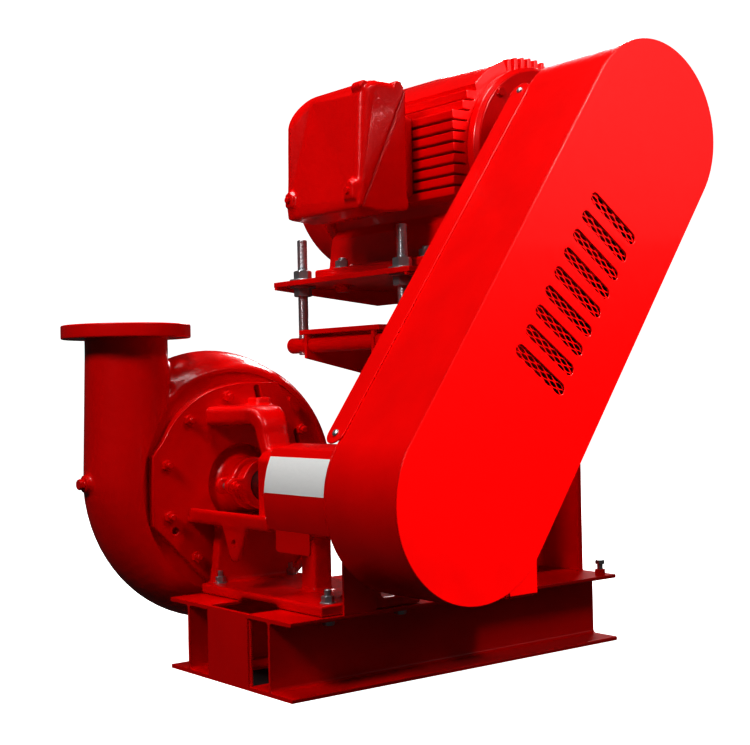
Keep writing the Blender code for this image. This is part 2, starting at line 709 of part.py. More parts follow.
def guard():
    """Belt guard: vented face, rolled wall, back plate, side strip and the shields over the shaft."""
    centre = Vector(((AXIS_X + MOTOR_X) / 2, (AXIS_Z + MOTOR_Z) / 2)) + UP_GUARD * 0.03
    outlines = [obround(GUARD_R)]
    for i in range(VENTS):
        spot = centre + UP_GUARD * (i - (VENTS - 1) / 2) * VENT_PITCH
        outlines.append(slot_outline(spot, ACROSS_GUARD, VENT_LENGTH, VENT_WIDTH))
    sheet("guard_face", outlines, GUARD_SHEET, at(0, GUARD_FACE_Y + GUARD_SHEET / 2, 0) @ FACING_Y, RED)
    front = GUARD_FACE_Y + GUARD_SHEET + GAP
    sheet("guard_wall", [obround(GUARD_R), obround(GUARD_R - GUARD_SHEET)], GUARD_REAR_Y - front,
          at(0, (front + GUARD_REAR_Y) / 2, 0) @ FACING_Y, RED)
    across = ACROSS_GUARD * (VENT_LENGTH / 2 + 0.02)
    along = UP_GUARD * (VENTS * VENT_PITCH / 2 + 0.015)
    corners = [centre - across - along, centre + across - along,
               centre + across + along, centre - across + along]
    sheet("vent_mesh", [[(c.x, c.y) for c in corners]], VENT_MESH,
          at(0, front + VENT_MESH / 2, 0) @ FACING_Y, RED)

    back_y = GUARD_REAR_Y + GAP + GUARD_SHEET / 2
    steps = 20
    lean = math.degrees(LEAN)
    top = arc((MOTOR_X, MOTOR_Z), GUARD_R, -lean, 180 - lean, steps)
    bottom = arc((AXIS_X, AXIS_Z), GUARD_R, 180 - lean, 278, 12)
    leg = [(0.480, AXIS_Z - GUARD_R), (0.480, 0.160), (0.560, 0.160)]
    tangent = Vector((AXIS_X, AXIS_Z)) + ACROSS_GUARD * GUARD_R
    rise = (0.560 - tangent.x) / UP_GUARD.x
    leg.append((0.560, tangent.y + UP_GUARD.y * rise))
    outline = top + bottom + leg
    shaft_hole = circle(0.100, 32, (AXIS_X, AXIS_Z))
    motor_hole = slot_outline((MOTOR_X, MOTOR_Z), UP_GUARD, 0.190, 0.130)
    sheet("guard_back_plate", [outline, shaft_hole, motor_hole], GUARD_SHEET,
          at(0, back_y, 0) @ FACING_Y, RED)

    seat = Vector((AXIS_X, AXIS_Z)) - ACROSS_GUARD * (GUARD_R + GAP + GUARD_SHEET / 2)
    turn = Matrix.Rotation(LEAN, 4, "Y")
    low, high, width = -0.005, 0.905, 0.050
    strip = slot_outline((0, (low + high) / 2), (0, 1), high - low, width)
    place = at(seat.x, -0.080, seat.y) @ turn @ ALONG_X
    sheet("guard_side_strip", [strip], GUARD_SHEET, place, RED)

    low_y = back_y + GUARD_SHEET / 2 + GAP
    place = at(0, (low_y + SHIELD_END_Y) / 2, 0) @ FACING_Y
    outer = arc((AXIS_X, AXIS_Z), GUARD_R, SHIELD_TOP, SHIELD_LOW, 10)
    inner = arc((AXIS_X, AXIS_Z), GUARD_R - GUARD_SHEET, SHIELD_LOW, SHIELD_TOP, 10)
    ring = outer + inner
    mirrored = [(2 * AXIS_X - x, z) for x, z in ring]
    sheet("shaft_shield_left", [ring], SHIELD_END_Y - low_y, place, RED)
    sheet("shaft_shield_right", [mirrored], SHIELD_END_Y - low_y, place, RED)
    edge_x, edge_z = outer[-1]
    block("shield_tab", (edge_x, -0.032, 0.280), (edge_x + GUARD_SHEET, 0.082, edge_z - GAP), RED)


def guard_supports():
    """Bent plates that carry the guard's back plate from the skid's near beam."""
    base = SKID_TOP + GAP
    reach = GUARD_REAR_Y + GUARD_SHEET + 2 * GAP
    plate, shelf = 0.006, 0.262
    outline = [(0, base), (plate, base), (plate, shelf), (reach, shelf), (reach, shelf - plate),
               (0, shelf - plate)]
    sheet("guard_support_left", [outline], 0.081, at(0.1685, 0, 0) @ ALONG_X, RED)
    outline = [(0.060, base), (0.060, base + plate), (reach + plate, base + plate),
               (reach + plate, 0.240), (reach, 0.240), (reach, base)]
    sheet("guard_support_right", [outline], 0.070, at(0.520, 0, 0) @ ALONG_X, RED)


def stand():
    """Column, top plate with its ribs, and the two round bars that hold the threaded rods."""
    base = SKID_TOP + GAP
    under = STAND_TOP - STAND_PLATE - GAP
    place = at(COLUMN_X + COLUMN / 2, COLUMN_Y + COLUMN / 2, (base + under) / 2)
    turn = Matrix.Rotation(math.radians(90), 4, "Z")
    sheet("stand_column", [h_outline(COLUMN, COLUMN, COLUMN_FLANGE, COLUMN_WEB)], under - base,
          place @ turn, RED)
    block("stand_top_plate", (*STAND_LOW, under + GAP), (*STAND_HIGH, STAND_TOP), RED)
    tip = under - RIB_TIP
    deep = under - RIB_DEEP
    bores = [circle(ANCHOR_R + RUN, 16, (x, ANCHOR_Z)) for x in ROD_X]
    low, high = STAND_LOW[0] + 0.002, STAND_HIGH[0] - 0.002
    left, right = COLUMN_X - GAP, COLUMN_X + COLUMN + GAP
    outline = [(low, under), (low, tip), (left, deep), (left, under)]
    sheet("stand_rib_near_left", [outline, bores[0]], RIB, at(0, RIB_Y[0], 0) @ FACING_Y, RED)
    outline = [(right, under), (right, deep), (high, tip), (high, under)]
    sheet("stand_rib_near_right", [outline, bores[1]], RIB, at(0, RIB_Y[0], 0) @ FACING_Y, RED)
    outline = [(low, under), (low, tip), (COLUMN_X, deep), (MOTOR_X + 0.06, deep), (high, tip),
               (high, under)]
    sheet("stand_rib_far", [outline] + bores, RIB, at(0, RIB_Y[1], 0) @ FACING_Y, RED)
    end = RIB_Y[1] - RIB / 2 - GAP
    outline = [(COLUMN_Y + COLUMN + GAP, under), (COLUMN_Y + COLUMN + GAP, under - 0.180), (end, deep),
               (end, under)]
    for name, x in (("left", COLUMN_X + COLUMN_FLANGE / 2), ("right", COLUMN_X + COLUMN - COLUMN_FLANGE / 2)):
        sheet("stand_cross_rib_" + name, [outline], RIB, at(x, 0, 0) @ ALONG_X, RED)
    low, high = ANCHOR_Y
    for name, x in (("left", ROD_X[0]), ("right", ROD_X[1])):
        bores = [bar("rod_bore_%s_%d" % (name, i), ROD_R + RUN, 0.1, at(x, y, ANCHOR_Z), None, 12)
                 for i, y in enumerate(ROD_Y)]
        anchor = bar("anchor_bar_" + name, ANCHOR_R, high - low,
                     at(x, (low + high) / 2, ANCHOR_Z) @ ALONG_Y, RED, 20)
        cut(anchor, *bores)


def rods():
    """Threaded rods, each with the nuts and washers that hold the motor plate at its height."""
    under = PLATE_TOP - PLATE
    nut_r, nut, washer_r, washer = 0.022, 0.022, 0.0318, 0.004
    stack = (
        ("washer_up", PLATE_TOP + GAP, washer_r, washer, 16),
        ("nut_up", PLATE_TOP + GAP + washer - 0.0005, nut_r, nut, 6),
        ("washer_down", under - GAP - washer, washer_r, washer, 16),
        ("nut_down", under - GAP - washer + 0.0005 - nut, nut_r, nut, 6))
    for i, x in enumerate(ROD_X):
        for j, y in enumerate(ROD_Y):
            rod = bar("threaded_rod_%d" % (2 * i + j + 1), ROD_R, ROD_TOP - ROD_LOW,
                      at(x, y, (ROD_TOP + ROD_LOW) / 2), ZINC, 12)
            tools = [bar("%s_%d%d" % (name, i, j), radius, tall, at(x, y, low + tall / 2), None, sides)
                     for name, low, radius, tall, sides in stack]
            fuse(rod, *tools)


def fin(root, tip, place):
    """One straight fin's four points: outwards from its root to its tip, at a place across."""
    return [(root, place - FIN_ROOT), (tip, place - FIN_TIP), (tip, place + FIN_TIP),
            (root, place + FIN_ROOT)]


def side_fins():
    """Level fins on the motor's right side, from the lowest up; the upper two follow its round."""
    points = []
    for i in range(SIDE_FINS):
        height = SIDE_FIN_LOW + i * SIDE_FIN_PITCH
        root = math.sqrt(MOTOR_R ** 2 - height ** 2) - 0.002
        tip = FIN_REACH
        if i >= SIDE_FINS - 2:
            tip = math.sqrt(FIN_ROUND_R ** 2 - height ** 2)
        points += fin(root, tip, height)
    return points


def top_fins():
    """Upright fins on the motor's top, from right to left."""
    points = []
    for i in range(TOP_FINS):
        side = (i - (TOP_FINS - 1) / 2) * TOP_FIN_PITCH
        root = math.sqrt(MOTOR_R ** 2 - side ** 2) - 0.002
        tip = math.sqrt(FIN_TOP_R ** 2 - side ** 2)
        points += [(-across, out) for out, across in fin(root, tip, side)]
    return points


def motor_outline():
    """Section of the motor's cast frame: side fins, smooth shoulders, top fins and two feet."""
    rail_low = GAP - MOTOR_D
    rail_high = rail_low + FOOT_RAIL
    foot = [(-0.172, -0.128), (-0.190, -0.150), (-0.200, rail_high), (-FOOT_OUT, rail_high),
            (-FOOT_OUT, rail_low), (-FOOT_IN, rail_low), (-FOOT_IN, rail_high), (-0.130, -0.170)]
    belly = arc((0, 0), MOTOR_R - 0.004, 234, 306, 9)
    right = side_fins() + arc((0, 0), FIN_TOP_R, 41, 69, 4)
    left = [(-x, z) for x, z in reversed(right)]
    return right + top_fins() + left + foot + belly + [(-x, z) for x, z in reversed(foot)]


def motor():
    """Motor: finned frame on its feet, end shields, fan cowl, terminal box, shaft and plate."""
    slots = [slot_outline((x, y), (0, 1), 0.060, 0.024, 4) for x in BOLT_X for y in BOLT_Y]
    holes = [circle(ROD_R + RUN, 16, (x, y)) for x in ROD_X for y in ROD_Y]
    sheet("motor_plate", [rectangle(PLATE_LOW, PLATE_HIGH)] + slots + holes, PLATE,
          at(0, 0, PLATE_TOP - PLATE / 2), RED)
    under = PLATE_TOP - PLATE - GAP
    outline = [(PLATE_LOW[0], under), (PLATE_LOW[0], under - PLATE_RIB_TIP),
               (MOTOR_X, under - PLATE_RIB_DEEP), (PLATE_HIGH[0], under - PLATE_RIB_TIP),
               (PLATE_HIGH[0], under)]
    for name, y in (("near", PLATE_LOW[1] + PLATE_RIB), ("far", PLATE_HIGH[1] - PLATE_RIB)):
        sheet("motor_plate_rib_" + name, [outline], PLATE_RIB, at(0, y, 0) @ FACING_Y, RED)

    length = MOTOR_REAR_Y - MOTOR_FRONT_Y
    middle_y = (MOTOR_REAR_Y + MOTOR_FRONT_Y) / 2
    sheet("motor_frame", [motor_outline(), circle(MOTOR_BORE_R, 24)], length,
          at(MOTOR_X, middle_y, MOTOR_Z) @ FACING_Y, RED)

    bore = MOTOR_JOURNAL_R + RUN
    front = MOTOR_FRONT_Y - GAP
    profile = [
        (0.216, front), (0.216, front - 0.022), (0.206, front - 0.032), (0.150, front - 0.038),
        (0.085, front - 0.042), (0.070, front - 0.060), (bore, front - 0.060), (bore, front)]
    turned("motor_shield_drive_end", profile, at(MOTOR_X, 0, MOTOR_Z) @ ALONG_Y, RED, 32)
    rear = MOTOR_REAR_Y + GAP
    profile = [(0.218, rear + 0.030), (0.222, rear + 0.022), (0.222, rear), (bore, rear),
               (bore, rear + 0.030)]
    turned("motor_shield_fan_end", profile, at(MOTOR_X, 0, MOTOR_Z) @ ALONG_Y, RED, 32)
    start = rear + 0.030 + GAP
    profile = [(0.150, start + 0.115), (0.200, start + 0.110), (0.216, start + 0.085), (0.220, start),
               (0.050, start), (0.050, start + 0.105), (0.060, start + 0.115)]
    turned("motor_fan_cowl", profile, at(MOTOR_X, 0, MOTOR_Z) @ ALONG_Y, RED, 32)
    profile = [(0.0, rear + 0.060), (MOTOR_JOURNAL_R, rear + 0.060), (MOTOR_JOURNAL_R, -0.015),
               (MOTOR_SHAFT_R, -0.015), (MOTOR_SHAFT_R, SHAFT_END_Y), (0.0, SHAFT_END_Y)]
    turned("motor_shaft", profile, at(MOTOR_X, 0, MOTOR_Z) @ ALONG_Y, STEEL, 24)


def terminal_box():
    """Terminal box on the motor's left side: base on a neck, and its deep cover along a slant."""
    low, high = BOX_SEAM
    seam_low = (low[0] + GAP, low[1])
    seam_high = (high[0] + GAP, high[1])
    outline = [seam_low, (0.372, 0.976), (BOX_BACK_X, 0.984), (BOX_BACK_X, high[1] - 0.002), seam_high]
    base = sheet("terminal_box_base", [outline], BOX_Y[1] - BOX_Y[0],
                 at(0, sum(BOX_Y) / 2, 0) @ FACING_Y, RED)
    neck = block("box_neck", (BOX_BACK_X - 0.010, *BOX_NECK[0]),
                 (MOTOR_X - FIN_REACH - GAP, *BOX_NECK[1]))
    fuse(base, neck)
    face = BOX_FACE_X
    outline = [low, high, (high[0] - BITE, BOX_CROWN)]
    outline += arc((face + BOX_CROWN_R, 1.206), BOX_CROWN_R, 105, 180, 5) + [(face, 0.998)]
    cover = sheet("terminal_box_cover", [outline], BOX_Y[1] - BOX_Y[0],
                  at(0, sum(BOX_Y) / 2, 0) @ FACING_Y, RED)
    near, far = BOX_Y
    corner, shoulder = 0.018, 0.065
    front = arc((near + corner, 1.252), corner, 90, 180, 3)
    front += [(near, BOX_CHIN), (far - 0.012, BOX_CHIN)]
    front += [(far, 1.000), (far, 1.110)] + arc((far - 0.070, 1.205), shoulder, 15, 90, 5)
    edge = sheet("cover_front", [front[::-1]], 0.300, at(face + 0.100, 0, 0) @ ALONG_X)
    boolean(cover, "INTERSECT", [edge])


skid()
bearing_frame()
stuffing_box()
casing()
rotor()
sheave("pump_sheave", AXIS_X, AXIS_Z, SHAFT_R + GAP)
sheave("motor_sheave", MOTOR_X, MOTOR_Z, MOTOR_SHAFT_R + GAP)
belt()
guard()
guard_supports()
stand()
rods()
motor()
terminal_box()
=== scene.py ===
import json
import math

import bmesh
import bpy
import numpy as np
from mathutils import Matrix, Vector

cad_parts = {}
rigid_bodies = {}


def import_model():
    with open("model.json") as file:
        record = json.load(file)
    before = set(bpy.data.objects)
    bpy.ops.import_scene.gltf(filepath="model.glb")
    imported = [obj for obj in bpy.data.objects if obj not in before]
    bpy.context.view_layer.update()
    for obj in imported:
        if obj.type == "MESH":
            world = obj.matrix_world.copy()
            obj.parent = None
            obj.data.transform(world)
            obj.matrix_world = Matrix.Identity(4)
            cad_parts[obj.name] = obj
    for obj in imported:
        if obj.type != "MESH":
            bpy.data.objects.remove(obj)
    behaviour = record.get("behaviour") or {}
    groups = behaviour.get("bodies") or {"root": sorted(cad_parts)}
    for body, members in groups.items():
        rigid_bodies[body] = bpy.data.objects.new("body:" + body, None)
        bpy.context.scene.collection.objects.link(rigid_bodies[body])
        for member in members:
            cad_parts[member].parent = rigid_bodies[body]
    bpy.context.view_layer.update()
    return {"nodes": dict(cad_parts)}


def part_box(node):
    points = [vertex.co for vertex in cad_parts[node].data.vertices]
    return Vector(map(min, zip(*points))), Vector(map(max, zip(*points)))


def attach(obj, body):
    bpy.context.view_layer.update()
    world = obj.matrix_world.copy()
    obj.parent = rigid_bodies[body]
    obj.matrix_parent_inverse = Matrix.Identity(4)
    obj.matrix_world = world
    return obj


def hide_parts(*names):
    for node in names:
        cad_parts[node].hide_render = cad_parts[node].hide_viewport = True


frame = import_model()

# Every place below is in metres from the skid's near left bottom corner: X along the beams,
# Y along the pump's shaft towards the casing, Z up. This adds the corner's own place.
CORNER = np.array(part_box("skid_beam_near")[0])


# The studio: black-flagged room with a few soft boxes, so that glossy paint keeps its full colour and
# shows only crisp window-shaped highlights. The picture is developed plainly, its middle tones deeper.
bpy.context.scene.view_settings.view_transform = "Standard"
bpy.context.scene.view_settings.gamma = 0.8


def put(name, data):
    """New object that holds a lamp, a camera, a mesh or a curve, in the scene."""
    thing = bpy.data.objects.new(name, data)
    bpy.context.scene.collection.objects.link(thing)
    return thing


def aim(thing, side, above, away, place):
    """Puts a lamp or camera at a place, with its own right, top and back along three directions."""
    turn = np.eye(4)
    turn[:3] = np.stack([side, above, away, place], 1)
    thing.matrix_world = Matrix(turn.tolist())


def lamp(name, place, target, size, watts):
    """Square area lamp at a place, facing its target."""
    light = bpy.data.lights.new(name, "AREA")
    light.size = size
    light.energy = watts
    away = np.subtract(place, target)
    away = away / np.linalg.norm(away)
    side = np.cross((0, 0, 1), away)
    side = side / np.linalg.norm(side)
    aim(put(name, light), side, np.cross(away, side), away, place)


lamp("key", (1.3, -3.2, 2.7), (0.1, -0.4, 0.8), 0.9, 250)
lamp("front", (0.5, -3.2, 3.6), (0.1, -0.2, 0.7), 0.9, 48)
lamp("left", (-3.3, -0.9, 3.1), (0, 0, 0.5), 0.9, 95)
lamp("overhead", (-0.7, 0.2, 4.2), (0, 0, 0), 1.2, 85)
lamp("sheen", (4.6, -4.2, 2.3), (0.3, -0.5, 0.9), 1.7, 12)
lamp("rear", (3.2, 2.6, 3.0), (0, 0, 0.6), 1.4, 120)
world = bpy.data.worlds.new("white_room")
bpy.context.scene.world = world
world.use_nodes = True
background = world.node_tree.nodes["Background"].inputs
background["Color"].default_value = (1, 1, 1, 1)
background["Strength"].default_value = 0.03

# The photo's camera: its place from the corner, its turn about the upright, its tilt and its lean
yaw, pitch, roll = np.radians((38.21, 0.53, -1.19))
ahead = np.array((math.sin(yaw) * math.cos(pitch), math.cos(yaw) * math.cos(pitch), math.sin(pitch)))
level = np.array((math.cos(yaw), -math.sin(yaw), 0))
above = np.cross(level, ahead)
camera_data = bpy.data.cameras.new("camera")
camera_data.sensor_width = 36
camera_data.lens = 64.59
camera = put("camera", camera_data)
aim(camera, math.cos(roll) * level + math.sin(roll) * above, math.cos(roll) * above - math.sin(roll) * level,
    -ahead, CORNER + (-1.4487, -2.1156, 0.6024))
bpy.context.scene.camera = camera


def whole_turn(count):
    """Angles evenly round a circle, in radians."""
    return np.linspace(0, math.tau, count, endpoint=False)


def linear(code):
    """sRGB hex to linear light: c / 12.92 up to 0.04045, above that ((c + 0.055) / 1.055) to the 2.4."""
    level = np.array([int(code[i:i + 2], 16) for i in (1, 3, 5)]) / 255
    level = np.where(level <= 0.04045, level / 12.92, ((level + 0.055) / 1.055) ** 2.4)
    return (*level.tolist(), 1)


def add(tree, kind, values=(), links=()):
    """Adds a node, sets its inputs or its own settings, and joins its inputs to other nodes' outputs."""
    node = tree.nodes.new("ShaderNode" + kind)
    for name, value in dict(values).items():
        if isinstance(name, int) or name in node.inputs:
            node.inputs[name].default_value = value
        else:
            setattr(node, name, value)
    for name, source in dict(links).items():
        tree.links.new(source, node.inputs[name])
    return node


def new_material(name, values):
    """Material with the default shader set to plain values, and Object coordinates to draw on."""
    material = bpy.data.materials.new(name)
    material.use_nodes = True
    tree = material.node_tree
    shader = tree.nodes["Principled BSDF"]
    for key, value in values.items():
        shader.inputs[key].default_value = value
    spot = add(tree, "TexCoord").outputs["Object"]
    return material, tree, shader, spot


def mottled(tree, shader, noise, one, other):
    """Colours the shader with a mix of two colours that follows a noise."""
    tint = add(tree, "Mix", {"data_type": "RGBA", 6: linear(one), 7: linear(other)},
               {"Factor": noise.outputs["Fac"]})
    tree.links.new(tint.outputs[2], shader.inputs["Base Color"])


def embossed(tree, shader, height, depth):
    """Bumps the shader's surface by a height that runs from 0 to 1, this many metres deep."""
    lift = add(tree, "Bump", {"Distance": depth}, {"Height": height})
    tree.links.new(lift.outputs["Normal"], shader.inputs["Normal"])


def grained(name, values, kind, texture, depth):
    """Material whose surface one texture embosses, to a depth in metres."""
    material, tree, shader, spot = new_material(name, values)
    embossed(tree, shader, add(tree, kind, texture, {"Vector": spot}).outputs["Fac"], depth)
    return material


# Floor and backdrop of the studio, matt white board. Both glow as bright as white, so that they stay
# white where the lamps don't reach, and neither lights the machine or shows in its paint.
def white_board(name, colour):
    """Matt board with a faint mottling, lit mostly by its own glow."""
    material, tree, shader, spot = new_material(name, {
        "Roughness": 0.8, "Specular IOR Level": 0.1, "Emission Color": linear("#FFFFFF"),
        "Emission Strength": 1.0})
    mottle = add(tree, "TexNoise", {"Scale": 1.5}, {"Vector": spot})
    mottled(tree, shader, mottle, colour, "#F4F4F3")
    return material


def set_apart(name, points, faces, material):
    """Piece of the studio that the camera sees and that takes shadows, but sends out no light."""
    mesh = bpy.data.meshes.new(name)
    mesh.from_pydata(points, [], faces)
    mesh.materials.append(material)
    thing = put(name, mesh)
    for ray in ("diffuse", "glossy", "transmission", "shadow"):
        setattr(thing, "visible_" + ray, False)


ROOM_R, ROOM_TALL, ROOM_SIDES = 8.9, 9.0, 64
set_apart("studio_floor", [(-9, -9, 0), (9, -9, 0), (9, 9, 0), (-9, 9, 0)], [(0, 1, 2, 3)],
          white_board("matt_floor_board", "#EFEFEE"))
# Painted shadow: a near-black board laid on the floor between the skid's beams, where the skid keeps the
# light off
painted_shadow_floor = new_material("painted_shadow_floor", {"Base Color": linear("#160202"), "Roughness": 0.9})[0]
set_apart("studio_painted_shadow", [(-0.43, -0.15, 0.001), (0.475, -0.15, 0.001), (0.475, 0.15, 0.001),
                           (-0.43, 0.15, 0.001)], [(0, 1, 2, 3)], painted_shadow_floor)
ring = whole_turn(ROOM_SIDES)
foot, head = [np.stack([ROOM_R * np.cos(ring), ROOM_R * np.sin(ring), np.full(ROOM_SIDES, z)], 1)
              for z in (0.0, ROOM_TALL)]
sides = [(i, (i + 1) % ROOM_SIDES, ROOM_SIDES + (i + 1) % ROOM_SIDES, ROOM_SIDES + i)
         for i in range(ROOM_SIDES)]
set_apart("studio_backdrop", np.vstack([foot, head]).tolist(),
          sides + [tuple(range(ROOM_SIDES, 2 * ROOM_SIDES))], white_board("matt_backdrop_board", "#F2F2F1"))


# Skid beams: two 6 inch wide-flange beams of hot-rolled steel, sawn to length and sprayed with glossy
# red alkyd enamel. Rolling leaves a fillet where the web meets each flange, and rounded flange toes.
def enamel(name, light, dark, rough, gloss, coat, bumps):
    """Glossy red paint; bumps are (size in mm, depth in mm) of the surface under and in the film."""
    material, tree, shader, spot = new_material(name, {
        "Roughness": rough, "IOR": 1.5, "Specular IOR Level": gloss, "Coat Weight": coat,
        "Coat Roughness": 0.05})
    cloud = add(tree, "TexNoise", {"Scale": 9.0, "Detail": 3.0}, {"Vector": spot})
    mottled(tree, shader, cloud, light, dark)
    normal = None
    for size, depth in bumps:
        grain = add(tree, "TexNoise", {"Scale": 1000 / size, "Detail": 1.5}, {"Vector": spot})
        bump = add(tree, "Bump", {"Distance": depth / 1000}, {"Height": grain.outputs["Fac"]})
        if normal is not None:
            tree.links.new(normal, bump.inputs["Normal"])
        normal = bump.outputs["Normal"]
    tree.links.new(normal, shader.inputs["Normal"])
    return material


RED, DEEP_RED = "#F00000", "#D80000"
# Orange peel is about 3 mm across in a sprayed film, and rolled plate waves slowly under it
sprayed_enamel = enamel("red_enamel_on_plate", RED, DEEP_RED, 0.28, 0.2, 0.08,
                         [(3.5, 0.06), (45, 0.5)])


def rounded(points, radii, steps=6):
    """Outline whose corners become arcs of the given radii, each tangent to the two sides it joins:
    the arc's centre lies on the corner's bisector at radius / sin(half angle)."""
    spot = np.asarray(points, float)
    radius = np.broadcast_to(np.asarray(radii, float), len(spot))[:, None]
    back = np.roll(spot, 1, 0) - spot
    onward = np.roll(spot, -1, 0) - spot
    back /= np.linalg.norm(back, axis=1, keepdims=True)
    onward /= np.linalg.norm(onward, axis=1, keepdims=True)
    inside = np.arccos(np.clip((back * onward).sum(1), -0.99999, 0.99999))[:, None]
    reach = radius / np.tan(inside / 2)
    middle = back + onward
    middle /= np.linalg.norm(middle, axis=1, keepdims=True)
    centre = spot + middle * radius / np.sin(inside / 2)
    start = (spot + back * reach - centre)[:, None]
    stop = (spot + onward * reach - centre)[:, None]
    sweep = (math.pi - inside)[:, None]
    part = np.linspace(0, 1, steps + 1)[None, :, None]
    bend = (start * np.sin((1 - part) * sweep) + stop * np.sin(part * sweep)) / np.sin(sweep)
    outline = (centre[:, None] + bend).reshape(-1, 2)
    step = np.linalg.norm(outline - np.roll(outline, 1, 0), axis=1)
    return outline[step > 0.000001]


def skin(rings, loop=False):
    """Quads over a grid of points: each row is a section, closed round; open ends get a cap."""
    rows, columns = rings.shape[:2]
    index = np.arange(rows * columns).reshape(rows, columns)
    if loop:
        index = np.vstack([index, index[:1]])
    near, far = index[:-1], index[1:]
    quads = np.stack([near, np.roll(near, -1, 1), np.roll(far, -1, 1), far], -1)
    faces = quads.reshape(-1, 4).tolist()
    if not loop:
        faces += [index[0, ::-1].tolist(), index[-1].tolist()]
    return rings.reshape(-1, 3), faces


# Where a section's two coordinates and its length go, for a piece that runs along each axis
ACROSS = {"X": (1, 2, 0), "Y": (0, 2, 1), "Z": (0, 1, 2)}


def laid(first, second, third, along):
    """Points from a section's two coordinates and the place along the axis it is carried on."""
    spots = [None, None, None]
    for axis, value in zip(ACROSS[along], np.broadcast_arrays(first, second, third)):
        spots[axis] = value
    return np.stack(spots, -1)


def prism(outline, low, high, along):
    """A section carried straight from low to high along one axis."""
    outline = np.asarray(outline, float)
    return skin(laid(outline[:, 0], outline[:, 1], np.array([[low], [high]]), along))


def block(low, high, radius=0.0, along="Z"):
    """Rectangular bar between two corners, the corners of its section rounded."""
    low, high = np.array(low, float), np.array(high, float)
    first, second, third = ACROSS[along]
    square = [(low[first], low[second]), (high[first], low[second]),
              (high[first], high[second]), (low[first], high[second])]
    return prism(rounded(square, radius, 4 if radius else 0), low[third], high[third], along)


def mesh_of(name, shapes):
    """One mesh from several closed shapes: doubles merged, then normals recalculated outwards."""
    points, faces, start = [], [], 0
    for spots, sides in shapes:
        points.append(spots + CORNER)
        faces += [[corner + start for corner in side] for side in sides]
        start += len(spots)
    mesh = bpy.data.meshes.new(name)
    mesh.from_pydata(np.vstack(points).tolist(), [], faces)
    shape = bmesh.new()
    shape.from_mesh(mesh)
    bmesh.ops.remove_doubles(shape, verts=shape.verts, dist=0.000002)
    bmesh.ops.recalc_face_normals(shape, faces=shape.faces)
    shape.to_mesh(mesh)
    shape.free()
    return mesh


# Castings with more faces than this are smooth already and keep their own normals
FINE_MESH = 20000


def build(name, shapes, material, body="machine", stands_for=(), edge=0.0, sharp=35):
    """Finished piece: its mesh, shaded smooth but for sharp corners, with worn or cast edges rounded;
    flat faces outweigh the roundings beside them, so that they shade flat."""
    mesh = shapes if isinstance(shapes, bpy.types.Mesh) else mesh_of(name, shapes)
    thing = put(name, mesh)
    mesh.materials.clear()
    mesh.materials.append(material)
    mesh.shade_smooth()
    if edge:
        bevel = thing.modifiers.new("edge", "BEVEL")
        bevel.width = edge
        bevel.segments = 2
        bevel.limit_method = "ANGLE"
        bevel.angle_limit = math.radians(40)
    else:
        mesh.set_sharp_from_angle(angle=math.radians(sharp))
    if edge or len(mesh.polygons) < FINE_MESH:
        flat = thing.modifiers.new("flat", "WEIGHTED_NORMAL")
        flat.weight, flat.keep_sharp = 100, not edge
    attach(thing, body)
    if stands_for:
        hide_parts(*stands_for)
    return thing


def stand_in(node, how, shapes, material, **rest):
    """Piece that stands for one node of the part, named after it and after how it is made."""
    build(node + "_" + how, shapes, material, stands_for=[node], **rest)


BEAM, FLANGE, WEB = 0.1524, 0.0085, 0.0066
# Pieces that lie against each other are drawn this far apart
GAP = 0.0003
SKID_LENGTH, SKID_WIDTH = 0.9144, 0.4572


def h_section(width, depth, flange, web, root, toe):
    """Rolled H: square outer corners, rounded toes, and a fillet at each root of the web."""
    half, tall, stem = width / 2, depth / 2, web / 2
    right = [(half, -tall), (half, flange - tall), (stem, flange - tall),
             (stem, tall - flange), (half, tall - flange), (half, tall)]
    left = [(-x, y) for x, y in reversed(right)]
    return rounded(right + left, [0.0012, toe, root, root, toe, 0.0012] * 2)


beam_section = h_section(BEAM, BEAM, FLANGE, WEB, 0.008, 0.003)
for beam, middle in (("near", BEAM / 2), ("far", SKID_WIDTH - BEAM / 2)):
    stand_in("skid_beam_" + beam, "rolled",
             [prism(beam_section + (middle, BEAM / 2), 0, SKID_LENGTH, "X")], sprayed_enamel, edge=0.0006)


# Closing plates between the beams: 8 mm flame-cut plate set between the flanges at both ends of the
# skid and fillet welded to them. The bead's ripples are about 4 mm apart.
def bead(start, stop, radius=0.003):
    """Weld laid along a line: a round bar whose radius swells by a tenth with each ripple."""
    start, stop = np.array(start, float), np.array(stop, float)
    length = np.linalg.norm(stop - start)
    along = (stop - start) / length
    side = np.cross(along, (0.3, 0.5, 0.81))
    side /= np.linalg.norm(side)
    run = np.linspace(0, length, max(int(length / 0.0013), 4))[:, None]
    turn = whole_turn(8)[None, :]
    swell = radius * (1 + 0.10 * np.sin(run * math.tau / 0.004)) * np.minimum(1, 0.3 + (length / 2 - np.abs(
        run - length / 2)) / radius / 2)
    rings = start + along * run[..., None] + (swell * np.cos(turn))[..., None] * side + (
        swell * np.sin(turn))[..., None] * np.cross(along, side)
    return skin(rings)


CLOSING_PLATE = 0.008
low_y, high_y = BEAM + GAP, SKID_WIDTH - BEAM - GAP
for end, start, face in (("left", 0, 0), ("right", SKID_LENGTH - CLOSING_PLATE, SKID_LENGTH)):
    inner = start + CLOSING_PLATE if face == 0 else start
    stand_in("skid_end_plate_" + end, "cut",
             [block((start, low_y, 0), (start + CLOSING_PLATE, high_y, BEAM))], sprayed_enamel, edge=0.0008)
    seams = [bead((inner, y, 0.004), (inner, y, BEAM - 0.004), 0.0035) for y in (low_y, high_y)]
    build("skid_end_weld_" + end, seams, sprayed_enamel)


